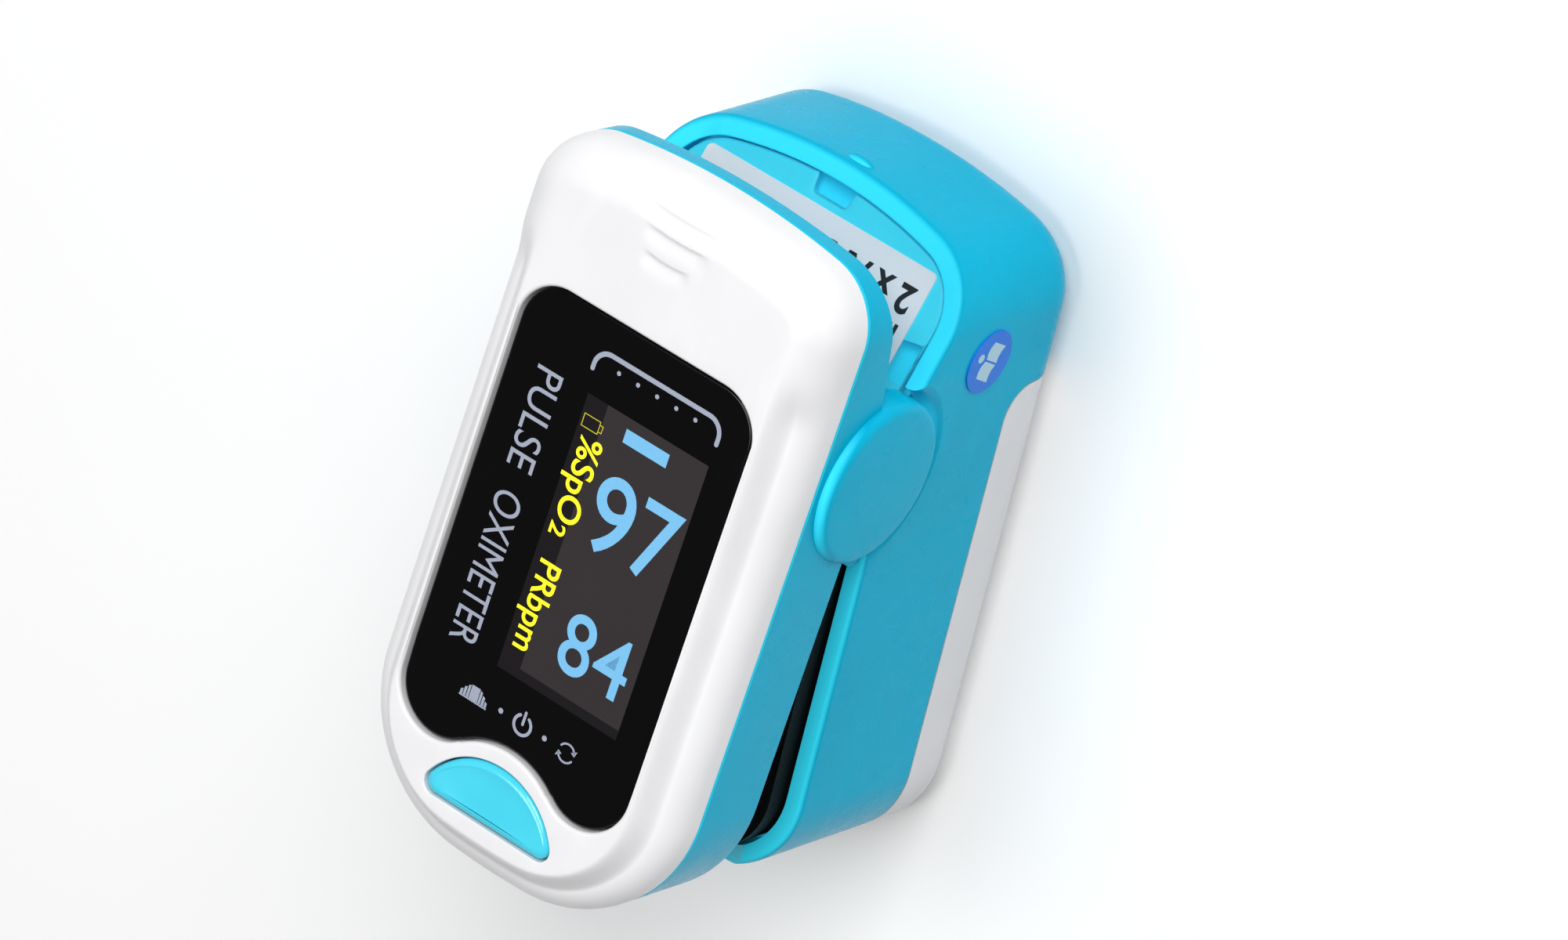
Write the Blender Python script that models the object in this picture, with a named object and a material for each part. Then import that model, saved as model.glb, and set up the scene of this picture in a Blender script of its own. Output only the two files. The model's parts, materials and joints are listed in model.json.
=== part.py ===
"""Fingertip pulse oximeter: two spring-loaded half shells that close on a finger.

Millimetres are used for every size below and MM turns them into metres. Y is measured from the
hinge axis, with the finger mouth towards -Y and the lever end towards +Y. Z is measured from the
flat back of the lower shell, with the jaws closed and the display facing +Z.
"""

import math

import bmesh
import bpy
from mathutils import Vector

MM = 0.001

# ---- driving dimensions ----------------------------------------------------------------------
HALF_WIDTH = 13.9  # both shells, side wall to centre plane
HINGE_Y = 10.73  # hinge axis from the middle of the whole object's length
HINGE_Z = 21.3
REST_OPENING = 8.5  # degrees between the jaws at rest, as on a thin finger
WALL = 1.4
GAP = 0.15  # half of the gap between shells that meet
FIT = 0.3  # clearance round inner parts

# plan outlines: crown of each end, corner radius and radius of the bowed end
UPPER_PLAN = {"mouth": (-37.5, 11.2, 60.0), "lever": (17.05, 5.0, 60.0)}
LOWER_PLAN = {"mouth": (-38.9, 8.5, 36.0), "lever": (15.85, 6.0, 40.0)}

# upper shell
COVER_PARTING = 28.95  # white cover above, coloured frame below
BAND_RISE = 17.0  # degrees, underside of the frame behind the hinge
RIM_TOP = 31.2
RIM_ROUND = 2.0
LEVER_ROUND = 3.6
PLATEAU_TOP = 33.0
PLATEAU_INSET = 2.0
PLATEAU_ROUND = 0.8
SHOULDER_STEPS = (5.6, 6.2, 6.8, 7.4, 8.0)  # the plateau widens to the full width over these
WINDOW_TOP = 32.6
WINDOW_THICKNESS = 0.9
BOARD_LOW = 27.5
BOARD_THICKNESS = 0.8
UPPER_FLOOR = (25.2, 26.5)
LEVER_FLOOR = 28.0

SCREW_PLACES = [(9.4, 11.0), (-9.4, 11.0)]  # under the lever end, from below into the white cover
SCREW_SEAT = 26.4

# display
DISPLAY_Y = -11.35  # middle of the panel

# button: a D shape with its flat edge towards the mouth
BUTTON_HALF_CHORD = 6.1  # of the arc where it would meet the flat edge without corners
BUTTON_FLAT_Y = -32.95
BUTTON_CREST_Y = -28.45
BUTTON_CORNER = 0.9
BUTTON_TOP = 33.05
BUTTON_GAP = 0.15

# hinge
EAR_RADIUS = 6.3
EAR_FACE = 14.8
EAR_CHAMFER = 0.5
LUG_FACES = (10.7, 12.2)
LUG_TOP_RADIUS = 3.4
PIN_RADIUS = 1.2
PIN_CLEARANCE = 0.1
PIN_ENDS = (7.3, 14.0)

# lower shell
RIM = HINGE_Z - GAP
MOUTH_RIM, MOUTH_RIM_END = 19.5, -4.6  # the rim drops beside the finger, up to this y
RIM_FALL = 29.0  # degrees, rim behind the hinge
BACK_PARTING = 6.1  # white back below, coloured housing above
BACK_COVER_END = 2.2
BACK_EDGE_RADIUS = 3.2
BACK_CURVE_FROM, BACK_CURVE_RADIUS, BACK_CURVE_TURN = 7.2, 16.0, 25.0
LEVER_EDGE_RADIUS = 3.3
MOUTH_ARCH, MOUTH_ARCH_RISE = 17.0, 11.9  # cut in the mouth for the finger
LEVER_LEAN, LEVER_LEAN_FROM = 6.0, 12.4  # degrees of each end wall's lean towards the mouth at
MOUTH_LEAN, MOUTH_LEAN_FROM = 7.8, 8.0  # the back, and the height that it leans from
BATTERY_BAY_TOP = 12.9
RIBBON_Y = -2.6
RIBBON_THICKNESS = 0.3
BATTERY_BAY_FLOOR = 1.75
BATTERY_BAY_END = 12.7

# finger channel, an arched groove in each pad
CHANNEL_RADIUS = 12.0
CHANNEL_DEPTH = 3.0
PAD_END = -7.9
STOP_THICKNESS = 1.5  # wall that stops the fingertip
PAD_LEDGE = 16.0  # the lower pad lies on this
UPPER_PAD_TOP = UPPER_FLOOR[0] - FIT
OPTICS_Y = -22.0  # emitter above, receiver below
OPTICS_RADIUS = 2.4

# two AAA cells
CELL_RADIUS, CELL_LENGTH = 5.15, 43.3
CELL_NUB_RADIUS, CELL_NUB_LENGTH = 1.9, 1.2
CELL_X, CELL_Z = 5.4, 7.2
CELL_FRONT = -32.9

# battery cover, lying in the sloping rim
COVER_INSET = 1.75
COVER_SUNK = 0.5
COVER_THICKNESS = 1.3
COVER_START = 4.2
LID_AXIS = (4.2, 15.5)  # (y, z) of the line that the battery cover tilts about
NOTCH_HALF_WIDTH = 1.7
STICKER_PLACE = (6.15, 10.25)
STICKER_RADIUS = 2.45
NOTCH_LENGTH = 1.7

RIM_SLOPE = math.tan(math.radians(RIM_FALL))
BAND_SLOPE = math.tan(math.radians(BAND_RISE))

bpy.ops.object.select_all(action="DESELECT")
for leftover in list(bpy.data.objects):
    bpy.data.objects.remove(leftover, do_unlink=True)


def new_collection(name):
    made = bpy.data.collections.new(name)
    bpy.context.scene.collection.children.link(made)
    return made


PARTS = new_collection("pulse_oximeter")
CUTTERS = new_collection("cutters")


def new_empty(name, location, turn=0.0):
    """An empty on a joint's axis, turned about X by so many degrees."""
    empty = bpy.data.objects.new(name, None)
    empty.location = Vector(location) * MM
    empty.rotation_euler = (math.radians(turn), 0, 0)
    PARTS.objects.link(empty)
    return empty


BASE = new_empty("base", (0, HINGE_Y, 0))
JAW = new_empty("jaw_axis", (0, HINGE_Y, HINGE_Z), -REST_OPENING)
LID = new_empty("lid_axis", (0, HINGE_Y + LID_AXIS[0], LID_AXIS[1]))
ORIGIN_OF = {
    BASE.name: Vector((0, 0, 0)),
    JAW.name: Vector((0, 0, HINGE_Z)),
    LID.name: Vector((0, *LID_AXIS)),
}


# ---- materials -------------------------------------------------------------------------------
def material(name, colour, roughness, metallic=0.0):
    made = bpy.data.materials.new(name)
    made.use_nodes = True
    shader = made.node_tree.nodes["Principled BSDF"]
    shader.inputs["Base Color"].default_value = (*colour, 1)
    shader.inputs["Roughness"].default_value = roughness
    shader.inputs["Metallic"].default_value = metallic
    return made


WHITE = material("white_plastic", (0.9, 0.9, 0.91), 0.3)
BLUE = material("blue_plastic", (0.06, 0.55, 0.75), 0.3)
BLACK = material("black_window", (0.005, 0.005, 0.006), 0.1)
SILICONE = material("black_silicone", (0.01, 0.01, 0.01), 0.6)
DISPLAY = material("display_glass", (0.04, 0.035, 0.035), 0.15)
BOARD = material("circuit_board", (0.02, 0.2, 0.07), 0.5)
CHIP = material("moulded_chip", (0.015, 0.015, 0.015), 0.5)
NYLON = material("connector_nylon", (0.8, 0.77, 0.68), 0.5)
STEEL = material("steel", (0.6, 0.6, 0.62), 0.3, 1.0)
NICKEL = material("nickel_contact", (0.7, 0.68, 0.62), 0.25, 1.0)
CLEAR = material("clear_resin", (0.6, 0.2, 0.2), 0.1)
CELL = material("cell_sleeve", (0.05, 0.12, 0.35), 0.35)
PAPER = material("label_paper", (0.85, 0.86, 0.87), 0.5)
STICKER = material("sticker_blue", (0.02, 0.12, 0.68), 0.4)
RIBBON = material("ribbon_film", (0.5, 0.25, 0.05), 0.4)


# ---- making shapes ---------------------------------------------------------------------------
def add_object(name, form, parent, finish=None):
    """A node when it has a finish, a hidden cutter when it has none."""
    mesh = bpy.data.meshes.new(name)
    bmesh.ops.recalc_face_normals(form, faces=form.faces)
    form.to_mesh(mesh)
    form.free()
    made = bpy.data.objects.new(name, mesh)
    made.parent = parent
    made.location = -ORIGIN_OF[parent.name] * MM
    (PARTS if finish else CUTTERS).objects.link(made)
    if finish:
        mesh.materials.append(finish)
        mesh.shade_smooth()
        mesh.set_sharp_from_angle(angle=math.radians(35))
    else:
        made.hide_render = True
        made.display_type = "WIRE"
    return made


def level_edges(form, height):
    """The edges that lie at one height."""
    return [e for e in form.edges if all(abs(v.co.z - height * MM) < 1e-7 for v in e.verts)]


def extruded(points, low, high, top_round=0.0, bottom_round=0.0, steps=3):
    """A flat outline drawn up from low to high, with its upper and lower edges rounded."""
    form = bmesh.new()
    face = form.faces.new([form.verts.new((x * MM, y * MM, low * MM)) for x, y in points])
    drawn = bmesh.ops.extrude_face_region(form, geom=[face])["geom"]
    lifted = [v for v in drawn if isinstance(v, bmesh.types.BMVert)]
    bmesh.ops.translate(form, verts=lifted, vec=(0, 0, (high - low) * MM))
    for height, width in ((high, top_round), (low, bottom_round)):
        if width:
            bmesh.ops.bevel(
                form,
                geom=level_edges(form, height),
                offset=width * MM,
                segments=steps,
                profile=0.5,
                affect="EDGES",
            )
    return form


def sideways(form):
    """Turns a form drawn as (y, z) and extruded in Z so that it runs along X."""
    for vertex in form.verts:
        y, z, x = vertex.co
        vertex.co = (x, y, z)
    return form


def block(x, y, z, rounding=0.0):
    """A box between pairs of limits."""
    corners = [(x[0], y[0]), (x[1], y[0]), (x[1], y[1]), (x[0], y[1])]
    return extruded(corners, z[0], z[1], top_round=rounding, steps=2)


def rod(radius, start, end, sides=24, radius_end=None):
    """A cylinder, or a cone, between two points."""
    start, end = Vector(start) * MM, Vector(end) * MM
    run = end - start
    form = bmesh.new()
    bmesh.ops.create_cone(
        form,
        cap_ends=True,
        segments=sides,
        radius1=radius * MM,
        radius2=(radius if radius_end is None else radius_end) * MM,
        depth=run.length,
    )
    turn = Vector((0, 0, 1)).rotation_difference(run.normalized()).to_matrix()
    bmesh.ops.rotate(form, verts=form.verts, matrix=turn)
    bmesh.ops.translate(form, verts=form.verts, vec=(start + end) / 2)
    return form


def combine(target, operation, form):
    """Cuts, joins or intersects a form with the object, in the object's own frame."""
    count = len(target.modifiers) + 1
    other = add_object(f"{target.name}_{operation.lower()}_{count}", form, target.parent)
    modifier = target.modifiers.new(f"{operation.lower()}_{count}", "BOOLEAN")
    modifier.operation = operation
    modifier.object = other
    modifier.solver = "EXACT"


def cut(target, *forms):
    for form in forms:
        combine(target, "DIFFERENCE", form)


def join(target, *forms):
    for form in forms:
        combine(target, "UNION", form)


def keep(target, form):
    combine(target, "INTERSECT", form)


def arc(centre, radius, start, end, steps):
    """Points on an arc, angles in degrees."""
    turns = [math.radians(start + (end - start) * i / steps) for i in range(steps + 1)]
    return [(centre[0] + radius * math.cos(t), centre[1] + radius * math.sin(t)) for t in turns]


# ---- outlines --------------------------------------------------------------------------------
def plan_end(half_width, crown, corner, bow, side):
    """One end of a shell seen from above: a corner arc, a bowed end and a corner arc."""
    bow_centre = crown - side * bow
    corner_x = half_width - corner
    rise = math.sqrt((bow - corner) ** 2 - corner_x**2)
    corner_y = bow_centre + side * rise
    meet = math.degrees(math.atan2(rise, corner_x))
    right = arc((corner_x, corner_y), corner, 0, side * meet, 5)
    middle = arc((0, bow_centre), bow, side * meet, side * 90, 3)
    half = right + middle[1:]
    return half + [(-x, y) for x, y in half[-2::-1]]


def plan(shape, inset=0.0):
    """A whole plan outline, moved inwards by the inset."""
    half = HALF_WIDTH - inset
    crown, corner, bow = shape["lever"]
    lever = plan_end(half, crown - inset, corner - inset, bow - inset, 1)
    crown, corner, bow = shape["mouth"]
    mouth = plan_end(half, crown + inset, corner - inset, bow - inset, -1)
    return lever + mouth[::-1]


def rim_height(y):
    """Top of the lower shell."""
    return RIM - max(y, 0) * RIM_SLOPE


def band_height(y):
    """Underside of the upper shell."""
    return HINGE_Z + GAP + max(y, 0) * BAND_SLOPE


def window_outline(inset=0.0):
    """The black window: rounded above, with a wave that runs round the button below."""
    side, top, corner = 10.37 - inset, 5.75 - inset, 3.4 - inset
    lobe_x, lobe_y, lobe = 6.6, -25.45, 3.7 - inset
    crest_radius = 6.6 + inset
    crest_y = -27.05 + inset - crest_radius
    reach = math.hypot(lobe_x, lobe_y - crest_y)
    lean = math.degrees(math.atan2(lobe_y - crest_y, lobe_x))
    share = crest_radius / (crest_radius + lobe)
    meet = Vector((0, crest_y)).lerp(Vector((lobe_x, lobe_y)), share * (crest_radius + lobe) / reach)
    right = arc((side - corner, top - corner), corner, 90, 0, 4)
    right += arc((lobe_x, lobe_y), lobe, 0, lean - 180, 7)[1:]
    wave = arc((0, crest_y), (meet - Vector((0, crest_y))).length, lean, 90, 3)
    half = right + wave[1:]
    return half + [(-x, y) for x, y in half[-2::-1]]


def button_outline(inset=0.0):
    """A D: an arc over a straight edge, with small corners."""
    half, corner = BUTTON_HALF_CHORD - inset, BUTTON_CORNER - inset * 0.5
    low, crest = BUTTON_FLAT_Y + inset, BUTTON_CREST_Y - inset
    height = crest - low
    radius = (half**2 + height**2) / (2 * height)
    centre = crest - radius
    corner_y = low + corner
    corner_x = math.sqrt((radius - corner) ** 2 - (corner_y - centre) ** 2)
    meet = math.degrees(math.atan2(corner_y - centre, corner_x))
    right = arc((corner_x, corner_y), corner, -90, meet, 4)
    right += arc((0, centre), radius, meet, 90, 7)[1:]
    return right + [(-x, y) for x, y in right[-2::-1]]


# ---- the upper shell -------------------------------------------------------------------------
def with_sides(points, half):
    """A plan outline with extra points down both straight sides, where the plateau widens."""
    split = len(points) // 2
    left = [(-half, y) for y in reversed(SHOULDER_STEPS)]
    right = [(half, y) for y in SHOULDER_STEPS]
    return points[:split] + left + points[split:] + right


def cover_ring(at_mouth, at_lever):
    """One level of the cover's outside: (inset, height) round the mouth and round the lever end."""
    ring = []
    mouth = with_sides(plan(UPPER_PLAN, at_mouth[0]), HALF_WIDTH - at_mouth[0])
    lever = with_sides(plan(UPPER_PLAN, at_lever[0]), HALF_WIDTH - at_lever[0])
    for near, far in zip(mouth, lever):
        share = (near[1] - SHOULDER_STEPS[0]) / (SHOULDER_STEPS[-1] - SHOULDER_STEPS[0])
        share = min(max(share, 0.0), 1.0)
        share = share * share * (3 - 2 * share)
        start, end = Vector((*near, at_mouth[1])), Vector((*far, at_lever[1]))
        ring.append(start.lerp(end, share))
    return ring


def lofted(rings):
    """A closed form through rings that hold the same number of points."""
    form = bmesh.new()
    rows = [[form.verts.new(point * MM) for point in ring] for ring in rings]
    form.faces.new(rows[0])
    form.faces.new(rows[-1])
    for low, high in zip(rows, rows[1:]):
        for i in range(len(low)):
            form.faces.new((low[i - 1], low[i], high[i], high[i - 1]))
    return form


def top_cover():
    rim = arc((RIM_ROUND, RIM_TOP - RIM_ROUND), RIM_ROUND, 180, 100, 4)
    crest = arc((PLATEAU_INSET + PLATEAU_ROUND, PLATEAU_TOP - PLATEAU_ROUND), PLATEAU_ROUND, 180, 90, 3)
    at_mouth = [(0, COVER_PARTING)] + rim + crest
    sweep = arc((LEVER_ROUND, PLATEAU_TOP - LEVER_ROUND), LEVER_ROUND, 180, 90, len(at_mouth) - 2)
    at_lever = [(0, COVER_PARTING)] + sweep
    rings = [cover_ring(near, far) for near, far in zip(at_mouth, at_lever)]
    cover = add_object("top_cover", lofted(rings), JAW, WHITE)
    cut(cover, extruded(plan(UPPER_PLAN, 3.0), COVER_PARTING - 1, PLATEAU_TOP - 1.6))
    cut(cover, extruded(plan(UPPER_PLAN, WALL), COVER_PARTING - 1, RIM_TOP - 1.6))
    cut(cover, extruded(window_outline(-0.15), WINDOW_TOP - WINDOW_THICKNESS - 0.15, PLATEAU_TOP + 1))
    cut(cover, extruded(window_outline(1.2), COVER_PARTING, PLATEAU_TOP))
    cut(cover, extruded(button_outline(-BUTTON_GAP), COVER_PARTING, PLATEAU_TOP + 1))
    for x, y in SCREW_PLACES:
        join(cover, rod(2.0, (x, y, LEVER_FLOOR + 0.2), (x, y, PLATEAU_TOP - 1.2), 16))
        cut(cover, rod(0.95, (x, y, LEVER_FLOOR - 1), (x, y, 30.8), 16))


def display_lens():
    low = WINDOW_TOP - WINDOW_THICKNESS
    form = extruded(window_outline(), low, WINDOW_TOP, top_round=0.25, steps=2)
    add_object("display_lens", form, JAW, BLACK)


def oled_display():
    """The bare panel: its lit area, and a wider margin over the driver on one side."""
    y = (DISPLAY_Y - 13.3, DISPLAY_Y + 13.3)
    panel = add_object("oled_display", block((-9.0, 8.6), y, (30.0, 31.2)), JAW, DISPLAY)
    join(panel, block((-8.9, -5.6), (y[0] + 2, y[1] - 2), (29.4, 30.1)))


def main_board():
    shape = [(11.9, 8.2), (-11.9, 8.2)] + [p for p in plan(UPPER_PLAN, WALL + 0.6) if p[1] < 0]
    top = BOARD_LOW + BOARD_THICKNESS
    add_object("main_board", extruded(shape, BOARD_LOW, top), JAW, BOARD)


def board_parts():
    top = BOARD_LOW + BOARD_THICKNESS + 0.05
    switch = add_object("tact_switch", block((-2.3, 2.3), (-33.2, -28.9), (top, top + 1.0)), JAW, CHIP)
    join(switch, rod(1.1, (0, -31.05, top + 0.5), (0, -31.05, top + 1.5), 16))
    add_object("processor", block((-9.5, -2.5), (3.0, 7.9), (top, top + 0.9)), JAW, CHIP)
    add_object("board_connector", block((2.0, 8.0), (4.2, 7.4), (top, top + 1.9)), JAW, NYLON)


def power_button():
    button = add_object(
        "power_button",
        extruded(button_outline(), 31.0, BUTTON_TOP, top_round=0.45, steps=3),
        JAW,
        BLUE,
    )
    join(button, extruded(button_outline(-0.7), 30.7, 31.15))
    join(button, rod(1.0, (0, -31.05, 30.3), (0, -31.05, 31.0), 16))


def on_axis(x):
    """A point on the hinge axis."""
    return (x, 0, HINGE_Z)


def upper_frame():
    outer = extruded(plan(UPPER_PLAN), HINGE_Z + GAP, COVER_PARTING - 0.1)
    frame = add_object("upper_frame", outer, JAW, BLUE)
    behind = [(0, HINGE_Z - 1), (20, HINGE_Z - 1), (20, band_height(20)), (0, band_height(0))]
    cut(frame, sideways(extruded(behind, -20, 20)))
    board_room = [(x, y) for x, y in plan(UPPER_PLAN, WALL) if y < 0]
    board_room += [(HALF_WIDTH - WALL, 8.7), (-HALF_WIDTH + WALL, 8.7)]
    cut(frame, extruded(board_room, UPPER_FLOOR[1], COVER_PARTING + 1))
    cut(frame, extruded(plan(UPPER_PLAN, WALL + 0.05), LEVER_FLOOR, COVER_PARTING + 1))
    pocket = [p for p in plan(UPPER_PLAN, WALL) if p[1] < -20]
    pocket += [(HALF_WIDTH - WALL, PAD_END + FIT), (-HALF_WIDTH + WALL, PAD_END + FIT)]
    cut(frame, extruded(pocket, HINGE_Z - 1, UPPER_FLOOR[0]))
    inside = (-HALF_WIDTH + WALL, HALF_WIDTH - WALL)
    cut(frame, block(inside, (PAD_END - 1, 4.6), (HINGE_Z - 1, UPPER_FLOOR[0])))
    cut(frame, rod(9.0, (0, -45, HINGE_Z - 5.2), (0, -30, HINGE_Z - 5.2), 32))
    cut(frame, rod(OPTICS_RADIUS + FIT, (0, OPTICS_Y, 24), (0, OPTICS_Y, 28), 20))
    slot = (UPPER_FLOOR[0] - 1, UPPER_FLOOR[1] + 0.5)
    cut(frame, block((-3, 3), (RIBBON_Y - 1.2, RIBBON_Y + 1.6), slot))
    for side in (1, -1):
        root, edge = on_axis(side * (HALF_WIDTH - 1.2)), on_axis(side * (EAR_FACE - EAR_CHAMFER))
        join(frame, rod(EAR_RADIUS, root, edge, 36))
        start, face = on_axis(side * (EAR_FACE - EAR_CHAMFER - 0.02)), on_axis(side * EAR_FACE)
        join(frame, rod(EAR_RADIUS, start, face, 36, EAR_RADIUS - 0.7))
        start, end = on_axis(side * 12), on_axis(side * (PIN_ENDS[1] + 0.2))
        cut(frame, rod(PIN_RADIUS + PIN_CLEARANCE, start, end, 24))
    for x, y in SCREW_PLACES:
        cut(frame, rod(1.15, (x, y, 20), (x, y, 30), 16))
        cut(frame, rod(2.1, (x, y, 20), (x, y, SCREW_SEAT), 20))


def cover_screws():
    for number, (x, y) in enumerate(SCREW_PLACES, 1):
        shank = rod(0.8, (x, y, SCREW_SEAT - 0.2), (x, y, 30.4), 12)
        screw = add_object(f"cover_screw_{number}", shank, JAW, STEEL)
        join(screw, rod(1.6, (x, y, SCREW_SEAT - 0.9), (x, y, SCREW_SEAT - 0.1), 20, 1.75))


def upper_finger_pad():
    outline = [p for p in plan(UPPER_PLAN, WALL + FIT) if p[1] < -20]
    edge = HALF_WIDTH - WALL - FIT
    outline += [(edge, PAD_END), (-edge, PAD_END)]
    pad = add_object("upper_finger_pad", extruded(outline, HINGE_Z + GAP, UPPER_PAD_TOP), JAW, SILICONE)
    centre = HINGE_Z + CHANNEL_DEPTH - CHANNEL_RADIUS
    cut(pad, rod(CHANNEL_RADIUS, (0, -45, centre), (0, PAD_END - STOP_THICKNESS, centre), 48))
    cut(pad, rod(OPTICS_RADIUS + FIT, (0, OPTICS_Y, 22), (0, OPTICS_Y, 27), 20))


def emitter():
    window = rod(OPTICS_RADIUS, (0, OPTICS_Y, 24.5), (0, OPTICS_Y, 25.7), 20)
    add_object("emitter_window", window, JAW, CLEAR)
    chip = block((-1.5, 1.5), (OPTICS_Y - 1.5, OPTICS_Y + 1.5), (26.0, 27.2))
    add_object("emitter_led", chip, JAW, CHIP)


# ---- the lower shell -------------------------------------------------------------------------
def lower_side_profile():
    """The lower shell from the side, as (y, z)."""
    turned = BACK_CURVE_TURN - 90
    back = arc((BACK_CURVE_FROM, BACK_CURVE_RADIUS), BACK_CURVE_RADIUS, -90, turned, 4)
    lean = Vector((math.cos(math.radians(turned)), math.sin(math.radians(turned))))
    centre = Vector(back[-1]) - lean * LEVER_EDGE_RADIUS
    end = arc(centre, LEVER_EDGE_RADIUS, turned, -8, 4)[1:]
    return [(-45, 0)] + back + end + [(17, centre.y), (17, rim_height(17)), (0, RIM), (-45, RIM)]


def leaned(form):
    """Leans the ends of a form drawn in the lower shell's plan."""
    for vertex in form.verts:
        if vertex.co.y > 0:
            above = vertex.co.z - LEVER_LEAN_FROM * MM
            vertex.co.y += above * math.tan(math.radians(LEVER_LEAN))
        elif vertex.co.y < -20 * MM:
            above = vertex.co.z - MOUTH_LEAN_FROM * MM
            vertex.co.y += above * math.tan(math.radians(MOUTH_LEAN))
    return form


def lower_outer():
    return leaned(extruded(plan(LOWER_PLAN), 0, RIM, bottom_round=BACK_EDGE_RADIUS, steps=4))


def back_cover_region(grow):
    """What the white back takes of the lower shell, as (y, z), with one rounded corner."""
    end, top, corner = BACK_COVER_END + grow, BACK_PARTING + grow, 2.6
    return [(-45, -1), (end, -1)] + arc((end - corner, top - corner), corner, 0, 90, 5) + [(-45, top)]


def lower_housing():
    housing = add_object("lower_housing", lower_outer(), BASE, BLUE)
    keep(housing, sideways(extruded(lower_side_profile(), -20, 20)))
    cut(housing, sideways(extruded(back_cover_region(0.1), -20, 20)))
    cut(housing, leaned(extruded(plan(LOWER_PLAN, WALL), 2.9, BATTERY_BAY_TOP)))
    cut(housing, block((-11, 11), (0, BATTERY_BAY_END), (BATTERY_BAY_FLOOR, 5)))
    bay_top = [(x, y) for x, y in plan(LOWER_PLAN, WALL) if y > 0]
    bay_top += [(-HALF_WIDTH + WALL, COVER_START - 0.3), (HALF_WIDTH - WALL, COVER_START - 0.3)]
    cut(housing, extruded(bay_top, BATTERY_BAY_TOP - 1, RIM + 1))
    pocket = [p for p in plan(LOWER_PLAN, WALL) if p[1] < -20]
    pocket += [(HALF_WIDTH - WALL, PAD_END + FIT), (-HALF_WIDTH + WALL, PAD_END + FIT)]
    cut(housing, leaned(extruded(pocket, PAD_LEDGE, RIM + 1)))
    cut(housing, block((-6, 6), (OPTICS_Y - 7, OPTICS_Y + 7), (BATTERY_BAY_TOP + 1.0, PAD_LEDGE + 1)))
    cut(housing, block((-3.2, 3.2), (OPTICS_Y, -1.2), (BATTERY_BAY_TOP + 1.0, PAD_LEDGE + 1)))
    arch = HINGE_Z + MOUTH_ARCH_RISE
    inside = (-HALF_WIDTH + 2.4, HALF_WIDTH - 2.4)
    above_cells = (BATTERY_BAY_TOP + 1.0, RIM + 1)
    cut(housing, block(inside, (PAD_END + 1.4, COVER_START - 1.4), above_cells))
    cut(housing, rod(MOUTH_ARCH, (0, -45, arch), (0, -30, arch), 40))
    cut(housing, block((-20, 20), (-45, MOUTH_RIM_END), (MOUTH_RIM, RIM + 1)))
    under_cover = COVER_SUNK + COVER_THICKNESS + 0.4
    thick = [(-7.6, 13), (7.4, 13), (7.4, rim_height(7.4) - under_cover)]
    thick += [(3.6, rim_height(3.6) - under_cover), (3.6, rim_height(3.6) - 0.4)]
    thick += [(0, RIM - 0.4), (-7.6, RIM - 0.4)]
    lug = arc((0, HINGE_Z), LUG_TOP_RADIUS, 180, 0, 10) + [(LUG_TOP_RADIUS, 18), (-LUG_TOP_RADIUS, 18)]
    for side in (1, -1):
        near, far = sorted((side * LUG_FACES[0], side * (HALF_WIDTH - 0.5)))
        join(housing, sideways(extruded(thick, near, far)))
        near, far = sorted((side * LUG_FACES[1], side * 20))
        cut(housing, rod(EAR_RADIUS + 0.4, on_axis(near), on_axis(far), 36))
        near, far = sorted((side * (LUG_FACES[0] + 0.1), side * (LUG_FACES[1] - 0.1)))
        join(housing, sideways(extruded(lug, near, far)))
        cut(housing, rod(PIN_RADIUS + PIN_CLEARANCE, on_axis(side * 10), on_axis(side * 13), 24))


def back_cover():
    cover = add_object("back_cover", lower_outer(), BASE, WHITE)
    keep(cover, sideways(extruded(back_cover_region(-0.1), -20, 20)))
    cut(cover, leaned(extruded(plan(LOWER_PLAN, WALL + 0.3), 3.2, BACK_PARTING + 1)))
    cut(cover, leaned(extruded(plan(LOWER_PLAN, WALL + 1.2), 1.3, BACK_PARTING + 1)))
    return cover


def batteries():
    for number, x in enumerate((CELL_X, -CELL_X), 1):
        flip = 1 if number == 1 else -1
        middle = CELL_FRONT + (CELL_LENGTH + CELL_NUB_LENGTH) / 2
        half = (CELL_LENGTH + CELL_NUB_LENGTH) / 2
        tip, tail = middle + flip * half, middle - flip * half
        shoulder = tip - flip * CELL_NUB_LENGTH
        can = rod(CELL_RADIUS, (x, tail, CELL_Z), (x, shoulder, CELL_Z), 32)
        cell = add_object(f"battery_{number}", can, BASE, CELL)
        join(cell, rod(CELL_NUB_RADIUS, (x, shoulder - flip * 0.5, CELL_Z), (x, tip, CELL_Z), 16))


def battery_contacts():
    """A sprung contact at the mouth end and a plate that links the cells at the lever end."""
    front, rear = CELL_FRONT - 2.35, CELL_FRONT + CELL_LENGTH + CELL_NUB_LENGTH + 0.3
    for number, x in enumerate((CELL_X, -CELL_X), 1):
        outer_edge, inner_edge = x * 8.6 / CELL_X, x * 1.2 / CELL_X
        width = sorted((inner_edge, outer_edge))
        plate = block(width, (front - 0.35, front), (3.4, 10.6))
        add_object(f"battery_contact_{number}", plate, BASE, NICKEL)
        coil_spring(f"battery_spring_{number}", x, front + 0.35, CELL_FRONT - 0.25)
    add_object("battery_link_plate", block((-9.2, 9.2), (rear, rear + 0.4), (3.6, 10.4)), BASE, NICKEL)


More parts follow.
